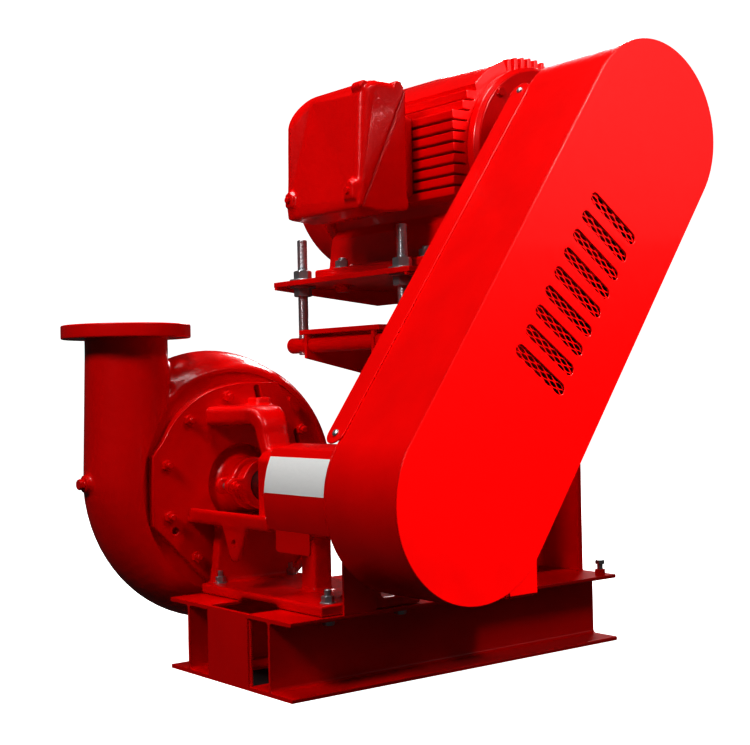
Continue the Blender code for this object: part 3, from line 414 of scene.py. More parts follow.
# Bearing frame: one grey iron sand casting with a broad flange, a bent strut over the gland, a drip
# tray, a square-sided bearing housing and a pedestal on a long foot, painted over the cast skin.
AXIS_X, AXIS_Z = 0.204, 0.387
FOOT_Z = BEAM + GAP
# Moulding sand leaves a skin with grains near 2.5 mm and slow hollows of 30 mm
cast_enamel = enamel("red_enamel_on_casting", RED, DEEP_RED, 0.27, 0.3, 0.15,
                     [(2.6, 0.22), (9, 0.5), (34, 1.2)])


def turned(profile, centre, along="Y", steps=72):
    """Profile of (radius, place) points spun about an axis."""
    radius, place = np.asarray(profile, float).T
    turn = np.radians(np.linspace(0, 360, steps, endpoint=False))[:, None]
    rings = laid(centre[0] + radius * np.sin(turn), centre[1] + radius * np.cos(turn), place, along)
    return skin(rings, loop=True)


def disc(radius, low, high, centre, along, steps=72):
    """Plain round cutter or blank between two places on an axis."""
    return turned([(0.0, low), (radius, low), (radius, high), (0.0, high)], centre, along, steps)


def melted(name, shapes, grain, passes, cuts=(), keep=1.0):
    """Casting from overlapping shapes: a voxel mesh joins them, smoothing turns corners into fillets,
    and the machined cuts come last, so that they stay crisp."""
    rough = put(name, mesh_of(name, shapes))
    join = rough.modifiers.new("join", "REMESH")
    join.mode = "VOXEL"
    join.voxel_size = grain
    relax = rough.modifiers.new("relax", "SMOOTH")
    relax.factor = 0.5
    relax.iterations = passes
    if keep < 1:
        rough.modifiers.new("thin", "DECIMATE").ratio = keep
    cutters = []
    for cut in cuts:
        cutter = put("cutter", mesh_of("cutter", [cut]))
        step = rough.modifiers.new("cut", "BOOLEAN")
        step.operation = "DIFFERENCE"
        step.solver = "EXACT"
        step.object = cutter
        cutters.append(cutter)
    view = bpy.context.evaluated_depsgraph_get()
    mesh = bpy.data.meshes.new_from_object(rough.evaluated_get(view))
    for thing in [rough] + cutters:
        bpy.data.objects.remove(thing)
    return mesh


def cast(node, shapes, grain, passes, cuts=(), keep=1.0):
    """Painted casting that stands for one node of the part and is named after it."""
    name = node + "_casting"
    build(name, melted(name, shapes, grain, passes, cuts, keep), cast_enamel, stands_for=[node], sharp=50)


def arc(centre, radius, start, stop, steps):
    """Points along an arc, angles in degrees from level right."""
    turn = np.radians(np.linspace(start, stop, steps + 1))
    return np.stack([centre[0] + radius * np.cos(turn), centre[1] + radius * np.sin(turn)], 1)


AXIS = (AXIS_X, AXIS_Z)
barrel, journal, nose, housing_back = 0.095, 0.046, 0.272, 0.190
tray_top, tray_low, tray_half, tray_start = 0.320, 0.308, 0.144, 0.168
barrel_profile = [(0.083, nose), (barrel, nose - 0.012), (barrel, -0.070), (0.040, -0.070), (0.040, nose)]
housing = rounded([(-barrel, tray_low), (barrel, tray_low), (barrel, AXIS_Z + 0.062), (0.080, AXIS_Z + 0.080),
                   (-0.080, AXIS_Z + 0.080), (-barrel, AXIS_Z + 0.062)], [0, 0, 0.010, 0.012, 0.012, 0.010])


def strut_rings():
    """Strut: its side view's upper and lower lines, walked together, with a width that shrinks from
    the root to the housing by straight stages; each section is a rounded rectangle."""
    top = np.vstack([[(0.488, 0.564)], arc((0.395, 0.502), 0.060, 90, 180, 10),
                     [(0.325, 0.472), (0.300, 0.462), (0.262, 0.458)]])
    low = np.vstack([[(0.488, 0.516)], arc((0.395, 0.502), 0.020, 90, 180, 10),
                     [(0.345, 0.438), (0.310, 0.434), (0.262, 0.430)]])
    half = np.interp(top[:, 0], [0.262, 0.335, 0.370, 0.430, 0.488], [0.035, 0.035, 0.042, 0.070, 0.096])
    turn = whole_turn(16) + math.pi / 16
    square = np.abs(np.cos(turn)) ** 0.35 * np.sign(np.cos(turn)), np.abs(np.sin(turn)) ** 0.35 * np.sign(
        np.sin(turn))
    middle, reach = (top + low) / 2, (top - low) / 2
    return np.stack([AXIS_X + half[:, None] * square[0], middle[:, :1] + reach[:, :1] * square[1],
                     middle[:, 1:] + reach[:, 1:] * square[1]], -1)


leg_section = rounded([(0.094, FOOT_Z + 0.010), (0.314, FOOT_Z + 0.010), (0.296, 0.300), (0.320, 0.316),
                       (0.088, 0.316), (0.112, 0.300)], [0.0, 0.0, 0.030, 0.0, 0.0, 0.030])
lug_section = rounded([(0.245, 0.335), (0.345, 0.335), (0.342, 0.308), (0.309, 0.236), (0.281, 0.236),
                       (0.246, 0.308)], [0.0, 0.0, 0.020, 0.013, 0.013, 0.020])
bridge = rounded([(0.0075, FOOT_Z), (0.160, FOOT_Z), (0.166, FOOT_Z + 0.007), (0.291, FOOT_Z + 0.007),
                  (0.297, FOOT_Z), (0.457, FOOT_Z), (0.457, FOOT_Z + 0.022), (0.0075, FOOT_Z + 0.022)],
                 [0.0, 0.0, 0.003, 0.003, 0.0, 0.0, 0.0, 0.0])
shin = rounded([(0.0085, FOOT_Z + 0.012), (0.080, FOOT_Z + 0.012), (0.070, 0.200), (0.070, 0.312),
                (0.0085, 0.312)], [0.0, 0.0, 0.030, 0.0, 0.0])
frame_shapes = [
    block((0.222, 0.440, 0.540), (0.262, 0.492, 0.580), 0.006, "Y"),
    turned(barrel_profile, AXIS), prism(housing + (AXIS_X, 0), housing_back, nose, "Y"), skin(strut_rings()),
    block((AXIS_X - tray_half, tray_start, tray_low), (AXIS_X + tray_half, 0.484, tray_top)),
    block((AXIS_X - tray_half, 0.169, 0.314), (AXIS_X - tray_half + 0.009, 0.473, 0.340)),
    block((AXIS_X + tray_half - 0.009, 0.169, 0.314), (AXIS_X + tray_half, 0.473, 0.340)),
    prism(leg_section, 0.426, 0.454, "Y"), prism(shin, 0.178, 0.230, "X"),
    block((0.180, 0.172, FOOT_Z + 0.010), (0.228, 0.222, tray_low + 0.006), 0.006),
    prism(bridge, 0.077, 0.331, "X"), prism(lug_section, 0.061, 0.071, "X"),
]
lug_hole = disc(0.008, 0.05, 0.08, (0.294, 0.276), "X", 24)
shaft_bore = disc(journal, -0.1, 0.3, AXIS, "Y", 48)
cast("bearing_frame", frame_shapes, 0.0040, 3, [lug_hole, shaft_bore], 0.55)


# The frame's flange: 22 mm thick, round at the upper left, slanted at the upper right and with cut
# corners below, slotted and drilled. It is drawn flat, cut right through, and its arrises are rounded.
def slot_outline(middle, along, length, width, steps=8):
    """Slot with round ends: two half circles, set apart along a direction."""
    along = np.asarray(along, float) / np.linalg.norm(along)
    side = np.array((-along[1], along[0]))
    turn = np.linspace(0, math.pi, steps + 1)[:, None] - math.pi / 2
    cap = (along * np.cos(turn) + side * np.sin(turn)) * width / 2
    reach = along * (length - width) / 2
    return np.vstack([middle + reach + cap, middle - reach - cap])


def circle(radius, middle=(0, 0), steps=32):
    """Points evenly round a circle."""
    turn = whole_turn(steps)
    return np.stack([middle[0] + radius * np.cos(turn), middle[1] + radius * np.sin(turn)], 1)


def plate(outlines, low, high, along, edge=0.0008, folds=2):
    """Flat piece with holes: a filled curve, extruded and with rounded arrises, made a mesh and then
    laid across the axis from low to high."""
    curve = bpy.data.curves.new("plate", "CURVE")
    curve.dimensions = "2D"
    curve.fill_mode = "BOTH"
    curve.extrude = (high - low) / 2 - edge
    curve.bevel_depth = edge
    curve.bevel_resolution = folds
    curve.offset = -edge
    for outline in outlines:
        spline = curve.splines.new("POLY")
        spline.points.add(len(outline) - 1)
        flat = np.zeros((len(outline), 4))
        flat[:, :2] = outline
        flat[:, 3] = 1
        spline.points.foreach_set("co", flat.ravel())
        spline.use_cyclic_u = True
    drawn = put("plate", curve)
    view = bpy.context.evaluated_depsgraph_get()
    mesh = bpy.data.meshes.new_from_object(drawn.evaluated_get(view))
    bpy.data.objects.remove(drawn)
    points = np.empty(len(mesh.vertices) * 3)
    mesh.vertices.foreach_get("co", points)
    across, up, out = points.reshape(-1, 3).T
    placed = laid(across, up, out + (low + high) / 2, along)
    return placed, [list(face.vertices) for face in mesh.polygons]


def at_angle(centre, radius, degrees):
    """Place on a circle, the angle counted from level right."""
    angle = math.radians(degrees)
    return np.array((centre[0] + radius * math.cos(angle), centre[1] + radius * math.sin(angle)))


rim = np.vstack([[(0.2275, -0.082), (0.2275, 0.053), (0.218, 0.067), (0.101, 0.2275), (-0.006, 0.2275)],
                 arc((0, 0), 0.225, 95, 154, 12), [(-0.2275, 0.069), (-0.2275, -0.082), (-0.082, -0.2275),
                                                   (0.082, -0.2275)]])
slots = []
for start, stop, wide in (((249, 601), (257, 571), 0.014), ((349, 571), (357, 551), 0.013),
                          ((356, 498), (361, 475), 0.012)):
    start, stop = np.array(start) / 1000, np.array(stop) / 1000
    reach = np.linalg.norm(stop - start) + wide
    slots.append(slot_outline((start + stop) / 2, stop - start, reach, wide))
jack_hole = circle(0.0075, (0.030, 0.291))
build("bearing_frame_flange", [plate([rim + AXIS, circle(0.088, AXIS, 72), jack_hole] + slots,
                                     0.480, 0.502, "Y", 0.0028)], cast_enamel)


# Threaded fasteners: zinc-plated or painted steel, hexagons with a chamfer at each end.
zinc_plate, tree, shader, spot = new_material("bright_zinc_plate", {
    "Base Color": linear("#C2C5C8"), "Metallic": 0.88, "Roughness": 0.3})
# Barrel plating leaves a fine mottled haze, about 2 mm across
haze = add(tree, "TexNoise", {"Scale": 420.0, "Detail": 2.0}, {"Vector": spot})
dull = add(tree, "MapRange", {"To Min": 0.26, "To Max": 0.48}, {"Value": haze.outputs["Fac"]})
tree.links.new(dull.outputs["Result"], shader.inputs["Roughness"])


def spindle(stations, place, along, steps=36):
    """Hexagons and rounds on one axis, from (distance, apothem, limit) stations: the radius is the
    apothem over the cosine of the angle from the flat's middle, but never over the limit."""
    distance, apothem, limit = np.array(stations, float).T
    turn = whole_turn(steps)
    off = np.mod(turn + math.pi / 6, math.pi / 3) - math.pi / 6
    radius = np.minimum(apothem[:, None] / np.cos(off), limit[:, None])
    away = -1 if along[0] == "-" else 1
    rings = laid(radius * np.cos(turn), radius * np.sin(turn), away * distance[:, None], along[-1])
    return skin(rings + place)


def hexagon(low, tall, flat, wide, chamfer, limit):
    """Stations of a hexagon with both ends chamfered: flat is its apothem, wide its corners' radius,
    and limit the radius at the two ends."""
    return [(low, flat, limit), (low + chamfer, flat, wide), (low + tall - chamfer, flat, wide),
            (low + tall, flat, limit)]


def nut_and_stud(size, place, along, stick=0.4, washer=True):
    """Washer, nut and stud end for a thread of this size, stacked outwards from the seat."""
    flat, wide, tall = 0.78 * size, 0.90 * size, 0.85 * size
    seat, ring = 0.16 * size if washer else 0.0, 1.12 * size
    stack = [(0, ring, ring), (seat * 0.8, ring, ring), (seat, ring * 0.97, ring * 0.97)] if washer else []
    stack += hexagon(seat, tall, flat, wide, 0.07 * size, flat * 1.02)
    end = seat + tall + stick * size
    core = size / 2
    stack += [(seat + tall, core, core), (end - 0.1 * size, core, core), (end, core * 0.8, core * 0.8)]
    return spindle(stack, place, along)


def bolt_head(size, place, along, washer=False):
    """Hexagon head with a domed chamfer, on a washer where it has one."""
    flat, wide, tall = 0.78 * size, 0.90 * size, 0.66 * size
    seat, ring = 0.16 * size if washer else 0.0, 1.12 * size
    stack = [(0, ring, ring), (seat, ring, ring)] if washer else []
    stack += [(seat, flat, flat * 1.04), (seat + 0.05 * size, flat, wide),
              (seat + tall - 0.09 * size, flat, wide), (seat + tall, flat, flat * 1.01),
              (seat + tall + 0.01 * size, flat * 0.7, flat * 0.7)]
    return spindle(stack, place, along)


# Studs round the frame's flange, M14, painted over with the frame; foot bolts of the pump, M14, left
# bright. A spare jacking screw with a painted lock nut stands at the skid's right end.
stud_spots = [at_angle(AXIS, 0.200, 100.5 + 32.73 * i) for i in range(10)]
flange_studs = [nut_and_stud(0.014, (x, 0.480, z), "-Y", 0.6, washer=False)
                for x, z in stud_spots if z > 0.20]
build("frame_flange_studs", flange_studs, cast_enamel)
PUMP_BOLT, foot_top = 0.0145, FOOT_Z + 0.022
pump_feet = [(x, y, foot_top) for x, y in ((0.109, 0.430), (0.112, 0.032), (0.295, 0.032), (0.295, 0.430))]
build("pump_foot_nuts", [nut_and_stud(PUMP_BOLT, place, "Z", 0.9) for place in pump_feet], zinc_plate)
below = [(x, y, BEAM - FLANGE) for x, y, z in pump_feet]
jack = (0.879, 0.016, BEAM)
lock_nut = hexagon(0.0, 0.014, 0.0105, 0.0121, 0.001, 0.0108)
build("jack_screw_nut", [spindle(lock_nut, jack, "Z")], sprayed_enamel)
screw = [(0.0142, 0.0065, 0.0065), (0.026, 0.0065, 0.0065)]
screw += hexagon(0.026, 0.009, 0.0095, 0.011, 0.001, 0.0098)
build("jack_screw", [spindle(screw, jack, "Z")], zinc_plate)
build("pump_foot_bolt_heads", [bolt_head(PUMP_BOLT, place, "-Z", washer=True) for place in below],
      zinc_plate)


# Stuffing box: the casing's cast back cover with the packing housing in its middle, and the cast
# gland that squeezes the packing, drawn up by two studs. The nuts on its ears are painted.
def ears(height, radius, reach, tip):
    """Outline of a round body with an ear on each side, melted together by arcs."""
    body = circle(radius, AXIS, 48)
    left, right = circle(tip, (AXIS_X - reach, AXIS_Z), 24), circle(tip, (AXIS_X + reach, AXIS_Z), 24)
    bar = [(AXIS_X - reach, AXIS_Z - tip), (AXIS_X + reach, AXIS_Z - tip),
           (AXIS_X + reach, AXIS_Z + tip), (AXIS_X - reach, AXIS_Z + tip)]
    return [prism(outline, *height, "Y") for outline in (body, left, right, bar)]


cover = [(0.1797, 0.5283), (0.1797, 0.5026), (0.080, 0.5023), (0.064, 0.488), (0.058, 0.478),
         (0.058, 0.425), (0.036, 0.425), (0.036, 0.5283)]
bore = disc(0.0365, 0.36, 0.54, AXIS, "Y", 48)
box_shapes = [turned(rounded(cover, 0.0), AXIS)] + ears((0.425, 0.439), 0.060, 0.080, 0.019)
cast("stuffing_box", box_shapes, 0.0032, 3, [bore])
gland_shapes = [turned([(0.052, 0.4245), (0.052, 0.395), (0.035, 0.395), (0.035, 0.4245)], AXIS)]
gland_shapes += ears((0.388, 0.402), 0.056, 0.080, 0.018)
cast("gland", gland_shapes, 0.0022, 2, [bore])
gland_nuts = [nut_and_stud(0.013, (AXIS_X + side * 0.080, 0.388, AXIS_Z), "-Y", 0.9) for side in (-1, 1)]
build("gland_nuts", gland_nuts, cast_enamel)


# Pump casing: one heavy iron casting, though the part has it as volute, neck and nozzle. Its passage
# swells as a spiral from the cutwater at the top, clockwise to the throat, then runs up to the flange.
CASING_Y, CASING_FRONT = 0.570, 0.5123
NECK_X, NECK_R, THROAT_R = -0.035, 0.091, 0.099
SPIRAL_R, SPIRAL_GROWTH, SPIRAL_DEGREES = 0.291, 0.049, 270
TONGUE_HALF, TONGUE_WIDE = 0.062, 0.070


def spiral_radius(turn):
    """Outer radius of the passage: 291 mm, plus 49 mm times the square of the share past 20 degrees, and
    half a millimetre more for each degree that the cutwater's hump runs back towards the neck."""
    share = np.maximum(turn - 20, 0) / (SPIRAL_DEGREES - 20)
    return SPIRAL_R + SPIRAL_GROWTH * share ** 2 + 0.0005 * np.maximum(22 - turn, 0)


def passage(inset, top, steps=48):
    """The spiral and its neck, as ellipses whose half axes grow in step with the turn, drawn in by
    inset; the neck's middle shifts evenly from the throat to the flange. The waterway, which is inset,
    is held flat behind the machined front until it has risen past it."""
    turn = np.linspace(0 if inset else -36, SPIRAL_DEGREES, 64)[:, None]
    part = np.maximum(turn, 0) / SPIRAL_DEGREES
    full = TONGUE_HALF + (THROAT_R - TONGUE_HALF) * part
    wide = TONGUE_WIDE + (NECK_R - TONGUE_WIDE) * part - inset
    ring = whole_turn(steps)[None, :]
    out = spiral_radius(turn) - full + (full - inset) * np.cos(ring)
    angle = np.radians(turn)
    coil = np.stack([out * np.sin(angle), wide * np.sin(ring), out * np.cos(angle)], -1)
    front = CASING_Y - CASING_FRONT
    if inset:
        coil[..., 1] = np.maximum(coil[..., 1], -front)
    height = np.linspace(0.02, top - AXIS_Z, 20)[:, None]
    share = np.clip(height / 0.30, 0, 1)
    middle = (1 - share) * (THROAT_R - spiral_radius(SPIRAL_DEGREES)) + share * (NECK_X - AXIS_X)
    half = THROAT_R + (NECK_R - THROAT_R) * share - inset
    near = np.interp(height, (0.12, 0.24), (front if inset else NECK_R, NECK_R))
    across = np.maximum((NECK_R - inset) * np.sin(ring), -near)
    neck = np.stack([middle - half * np.cos(ring), across, np.broadcast_to(height, (20, steps))], -1)
    return skin(np.vstack([coil, neck]) + (AXIS_X, CASING_Y, AXIS_Z))


SUCTION_Y, DISCHARGE_Z = 0.780, 0.746
flange_back = SUCTION_Y - 0.028
shell = [(0.1715, flange_back), (0.128, flange_back), (0.122, 0.690), (0.136, 0.655), (0.170, 0.634),
         (0.262, 0.622), (0.289, 0.582), (0.290, 0.566), (0.288, 0.548), (0.281, 0.525), (0.272, 0.508),
         (0.262, 0.4985), (0.05, 0.4985), (0.05, 0.760), (0.1715, 0.760)]
boss = disc(0.020, -0.146, -0.100, (CASING_Y, 0.400), "X", 32)
casing_shapes = [passage(0, 0.730), turned(shell, AXIS), boss]
casing_cuts = [
    passage(0.012, DISCHARGE_Z + 0.02), disc(0.196, 0.529, 0.611, AXIS, "Y"),
    disc(0.1805, 0.40, 0.60, AXIS, "Y"), disc(0.1015, 0.55, 0.85, AXIS, "Y"),
    disc(0.252, 0.40, 0.5023, AXIS, "Y"),
]
casting = melted("pump_casing_casting", casing_shapes, 0.0048, 4, casing_cuts)
build("pump_casing_casting", casting, cast_enamel,
      stands_for=["pump_casing", "discharge_neck", "suction_nozzle"], sharp=40)


# Casing flanges, turned flat on their faces and drilled: eight holes on the usual circles.
def drilled(radius, bore, ring, hole, count, middle, turn=0.5):
    """Outlines of a round flange: its edge, its bore, and holes evenly on their circle."""
    angle = (np.arange(count) + turn) * math.tau / count
    spots = np.stack([middle[0] + ring * np.cos(angle), middle[1] + ring * np.sin(angle)], 1)
    return [circle(radius, middle, 96), circle(bore, middle, 72)] + [circle(hole, s, 20) for s in spots]


build("discharge_flange_drilled",
      [plate(drilled(0.142, 0.079, 0.1207, 0.0111, 8, (NECK_X, CASING_Y)), DISCHARGE_Z - 0.030,
             DISCHARGE_Z, "Z", 0.003)], cast_enamel)
build("suction_flange_drilled",
      [plate(drilled(0.1715, 0.1015, 0.1492, 0.0111, 8, AXIS), flange_back, SUCTION_Y, "Y", 0.003)],
      cast_enamel)
plug_stack = [(0, 0.0125, 0.0125), (0.003, 0.0125, 0.0125), (0.003, 0.0104, 0.0106), (0.004, 0.0104, 0.012),
              (0.010, 0.0104, 0.012), (0.0115, 0.0104, 0.0106)]
stand_in("drain_plug", "head", [spindle(plug_stack, (-0.1455, CASING_Y, 0.400), "-X")], cast_enamel)


# Shafts: turned steel bar, bright where it shows, with fine tool marks round it.
turned_steel, tree, shader, spot = new_material("turned_steel", {
    "Base Color": linear("#8E8F91"), "Metallic": 1.0, "Roughness": 0.3})
# Turning marks 0.4 mm apart are drawn 1.6 mm apart so that they show
feed = add(tree, "SeparateXYZ", (), {"Vector": spot})
ripple = add(tree, "Math", {"operation": "SINE"})
pitch_node = add(tree, "Math", {"operation": "MULTIPLY", 1: math.tau / 0.0016}, {0: feed.outputs["Y"]})
tree.links.new(pitch_node.outputs[0], ripple.inputs[0])
embossed(tree, shader, ripple.outputs[0], 0.00002)

SHEAVE_Y = -0.200
pump_bar = [(0.0, 0.594), (0.022, 0.594), (0.024, 0.592), (0.024, 0.533), (0.035, 0.533), (0.035, 0.260),
            (0.0455, 0.260), (0.0455, -0.068), (0.036, -0.068), (0.036, -0.104), (0.030, -0.104),
            (0.030, -0.250), (0.028, -0.252), (0.0, -0.252)]
stand_in("pump_shaft", "turned", [turned(pump_bar, AXIS, steps=64)], turned_steel, body="pump_rotor")
MOTOR_X, MOTOR_Z = 0.720, 1.112
MOTOR = (MOTOR_X, MOTOR_Z)
motor_bar = [(0.0, 0.6203), (0.0375, 0.6203), (0.0375, -0.015), (0.036, -0.017), (0.036, -0.250),
             (0.034, -0.252), (0.0, -0.252)]
stand_in("motor_shaft", "turned", [turned(motor_bar, MOTOR, steps=64)], turned_steel, body="motor_rotor")


# Impeller: semi-open wheel in bare iron, a dished back shroud with five blades swept backwards.
# The as-cast grain is near 2 mm
bare_iron = grained("bare_cast_iron", {
    "Base Color": linear("#4A4A4C"), "Metallic": 0.85, "Roughness": 0.55},
    "TexNoise", {"Scale": 480.0, "Detail": 3.0}, 0.00025)


def blade(turn, steps=24):
    """Blade between two logarithmic-like curves: the angle grows as the power 0.9 of the radius share."""
    share = np.linspace(0, 1, steps)
    radius = 0.034 + 0.136 * share
    angle = np.radians(80 * share ** 0.9) + turn
    half = 0.004 / radius
    one = np.stack([radius * np.cos(angle + half), radius * np.sin(angle + half)], 1)
    two = np.stack([radius * np.cos(angle - half), radius * np.sin(angle - half)], 1)
    return prism(np.vstack([one, two[::-1]]) + AXIS, 0.543, 0.594, "Y")


shroud = [(0.0245, 0.592), (0.036, 0.592), (0.044, 0.570), (0.060, 0.553), (0.168, 0.546), (0.174, 0.543),
          (0.174, 0.539), (0.0245, 0.539)]
wheel = [turned(shroud, AXIS)] + [blade(i * math.tau / 5) for i in range(5)]
stand_in("impeller", "wheel", melted("impeller_wheel", wheel, 0.0024, 2), bare_iron, body="pump_rotor",
         sharp=50)


# Sheaves: grey iron, turned all over, four V grooves each; the web between rim and hub is dished.
GROOVES, GROOVE_PITCH, SHEAVE_R, GROOVE_R = 4, 0.0175, 0.150, 0.134


def sheave_profile(hole):
    """Half section of a sheave round its axis: rim with grooves, web, and hub with its hole."""
    half = (GROOVES * GROOVE_PITCH + 0.006) / 2
    middle = (np.arange(GROOVES) - (GROOVES - 1) / 2) * GROOVE_PITCH
    cuts = [(SHEAVE_R, -0.0080), (GROOVE_R, -0.0045), (GROOVE_R, 0.0045), (SHEAVE_R, 0.0080)]
    grooves = [(radius, m + side) for m in middle for radius, side in cuts]
    outline = [(hole, -half), (0.064, -half), (0.064, -0.012), (0.072, -0.009), (0.112, -0.009),
               (0.122, -0.014), (0.122, -half), (SHEAVE_R, -half)] + grooves
    outline += [(SHEAVE_R, half), (0.122, half), (0.122, 0.014), (0.112, 0.009), (0.072, 0.009),
                (0.064, 0.012), (0.064, half), (hole, half)]
    return [(radius, SHEAVE_Y + place) for radius, place in outline]


for name, centre, hole, body in (("pump_sheave", AXIS, 0.0303, "pump_rotor"),
                                 ("motor_sheave", MOTOR, 0.0363, "motor_rotor")):
    bolt_spots = [at_angle(centre, 0.050, degrees) for degrees in (0, 120, 240)]
    hub_bolts = [bolt_head(0.010, (x, SHEAVE_Y - 0.038, z), "-Y") for x, z in bolt_spots]
    stand_in(name, "turned", [turned(sheave_profile(hole), centre, steps=96)] + hub_bolts, bare_iron,
             body=body)


# Drive belt: four V belts joined by a common back, wrapped rubber, dull black with a woven face.
# The cloth wrap's threads are about 1.5 mm apart
belt_rubber = grained("wrapped_belt_rubber", {
    "Base Color": linear("#161616"), "Roughness": 0.75},
    "TexWave", {"Scale": 180.0, "Distortion": 1.0}, 0.0001)

LEAN = math.atan2(MOTOR_X - AXIS_X, MOTOR_Z - AXIS_Z)
UP = np.array((math.sin(LEAN), math.cos(LEAN)))
SIDE = np.array((math.cos(LEAN), -math.sin(LEAN)))


def stadium(radius, steps=48):
    """Outline of two half circles round the motor's and the pump's shafts, joined by tangents."""
    turn = np.linspace(0, math.pi, steps + 1)[:, None]
    half = radius * (SIDE * np.cos(turn) + UP * np.sin(turn))
    return np.vstack([np.array(MOTOR) + half, np.array(AXIS) - half])


belt_half = (GROOVES * GROOVE_PITCH - 0.002) / 2
groove_middles = (np.arange(GROOVES) - (GROOVES - 1) / 2) * GROOVE_PITCH
rib = np.array([(0.0008, -0.0074), (-0.0130, -0.0044), (-0.0130, 0.0044), (0.0008, 0.0074)])
ribs = (rib[None] + np.stack([0 * groove_middles, groove_middles], 1)[:, None]).reshape(-1, 2)
belt_section = np.vstack([[(0.0056, belt_half), (0.0056, -belt_half), (0.0008, -belt_half)], ribs,
                          [(0.0008, belt_half)]])
line = np.stack([stadium(SHEAVE_R + offset) for offset in belt_section[:, 0]], 1)
belt_rings = laid(line[..., 0], line[..., 1], SHEAVE_Y + belt_section[:, 1], "Y")
stand_in("drive_belt", "joined", [skin(belt_rings, loop=True)], belt_rubber)


# Belt guard: 3 mm sheet. A flat face with nine cross slots, a rolled wall tacked to it, and a back
# plate that bolts to the pump side. The face's edge is dressed round after welding.
GUARD_R, SHEET, FACE_Y, REAR_Y = 0.190, 0.003, -0.309, -0.100
VENTS, VENT_PITCH, VENT_LENGTH, VENT_WIDTH = 9, 0.046, 0.150, 0.024
guard_middle = (np.array(AXIS) + MOTOR) / 2 + UP * 0.03
vents = [slot_outline(guard_middle + UP * (i - (VENTS - 1) / 2) * VENT_PITCH, SIDE, VENT_LENGTH, VENT_WIDTH)
         for i in range(VENTS)]
front = FACE_Y + SHEET
stand_in("guard_face", "sheet", [plate([stadium(GUARD_R)] + vents, FACE_Y, front, "Y", 0.0013)],
         sprayed_enamel)
wall = [stadium(GUARD_R), stadium(GUARD_R - SHEET)]
stand_in("guard_wall", "rolled", [plate(wall, front + GAP, REAR_Y, "Y", 0.0009)], sprayed_enamel)


# Expanded metal behind the slots: slit and stretched sheet, diamonds 30 by 13 mm, painted red. Each
# strand is a bar that zigzags between its neighbours and meets them at the knuckles.
MESH_WIDE, MESH_TALL, STRAND = 0.030, 0.0130, 0.0011
half_wide = VENT_LENGTH / 2 + 0.019
half_tall = VENTS * VENT_PITCH / 2 + 0.014


def strands():
    """Rows of zigzag bars: the offset across is a triangle wave, turned over on every other row."""
    rows = int(2 * half_tall / (MESH_TALL / 2)) - 1
    columns = int(2 * half_wide / (MESH_WIDE / 4)) + 1
    along = np.linspace(-half_wide, half_wide, columns)[None, :]
    wave = np.abs(np.mod(along / MESH_WIDE * 2, 2) - 1) - 0.5
    row = np.arange(rows)[:, None]
    sign = np.where(row % 2 == 0, 1.0, -1.0)
    across = (row - (rows - 1) / 2) * MESH_TALL / 2 + sign * wave * MESH_TALL * 0.46
    square = np.array([(1, 0.8), (-1, 0.8), (-1, -0.8), (1, -0.8)]) * STRAND
    flat = guard_middle + across[..., None] * UP + along[..., None] * SIDE
    flat = flat[:, :, None, :] + square[:, 0][:, None] * UP
    rings = laid(flat[..., 0], flat[..., 1], front + 0.0014 + square[:, 1], "Y")
    return [skin(strand) for strand in rings]


build("vent_expanded_metal", strands(), sprayed_enamel, stands_for=["vent_mesh"])


# Guard's back plate, cut from 3 mm sheet with a leg that reaches down, and the side strip along the
# wall, which two bright button screws hold.
lean = math.degrees(LEAN)
leg_x = 0.560
tangent = np.array(AXIS) + SIDE * GUARD_R
leg = np.array([(0.480, AXIS_Z - GUARD_R), (0.480, 0.160), (leg_x, 0.160),
                tangent + UP * (leg_x - tangent[0]) / UP[0]])
back_outline = np.vstack([arc(MOTOR, GUARD_R, -lean, 180 - lean, 48), arc(AXIS, GUARD_R, 180 - lean, 278, 36),
                          leg])
motor_slot = slot_outline(np.array(MOTOR), UP, 0.190, 0.130, 24)
back_sheet = plate([back_outline, circle(0.100, AXIS, 64), motor_slot], REAR_Y + GAP, REAR_Y + 0.0033,
                   "Y", 0.0009)
build("guard_back_sheet", [back_sheet], sprayed_enamel, stands_for=["guard_back_plate"])


def leaning(shape, place_y):
    """Lays a piece drawn with X across and Z along the guard's left edge onto that edge."""
    points, faces = shape
    seat = np.array(AXIS) - SIDE * (GUARD_R + GAP)
    flat = seat - SIDE * points[:, 2:3] + UP * points[:, 1:2]
    return np.stack([flat[:, 0], place_y + points[:, 0], flat[:, 1]], 1), faces


STRIP_Y, STRIP_LENGTH, STRIP_WIDTH = -0.080, 0.910, 0.050
strip = slot_outline(np.array((0, 0.450)), (0, 1), STRIP_LENGTH, STRIP_WIDTH, 20)
stand_in("guard_side_strip", "cut", [leaning(plate([strip], 0, SHEET, "Z", 0.0012), STRIP_Y)],
         sprayed_enamel)
dome = [(0, 0.0075, 0.0075), (0.0016, 0.0075, 0.0075), (0.0032, 0.0064, 0.0064), (0.0043, 0.0042, 0.0042),
        (0.0046, 0.0024, 0.0024), (0.0030, 0.0020, 0.0024)]
buttons = [leaning(spindle(dome, (0, place, SHEET), "Z"), STRIP_Y) for place in (0.018, 0.884)]
build("side_strip_buttons", buttons, zinc_plate)


# Shaft shields: rolled 3 mm sheet on both sides of the open shaft, with a tab hanging from the left
# one. A plain white vinyl label is stuck on the left one.
def bent(inner, outer, start, stop, low, high, steps=40):
    """Rolled sheet about the pump's axis: a ring sector carried along it."""
    outline = np.vstack([arc(AXIS, outer, start, stop, steps), arc(AXIS, inner, stop, start, steps)])
    return prism(outline, low, high, "Y")


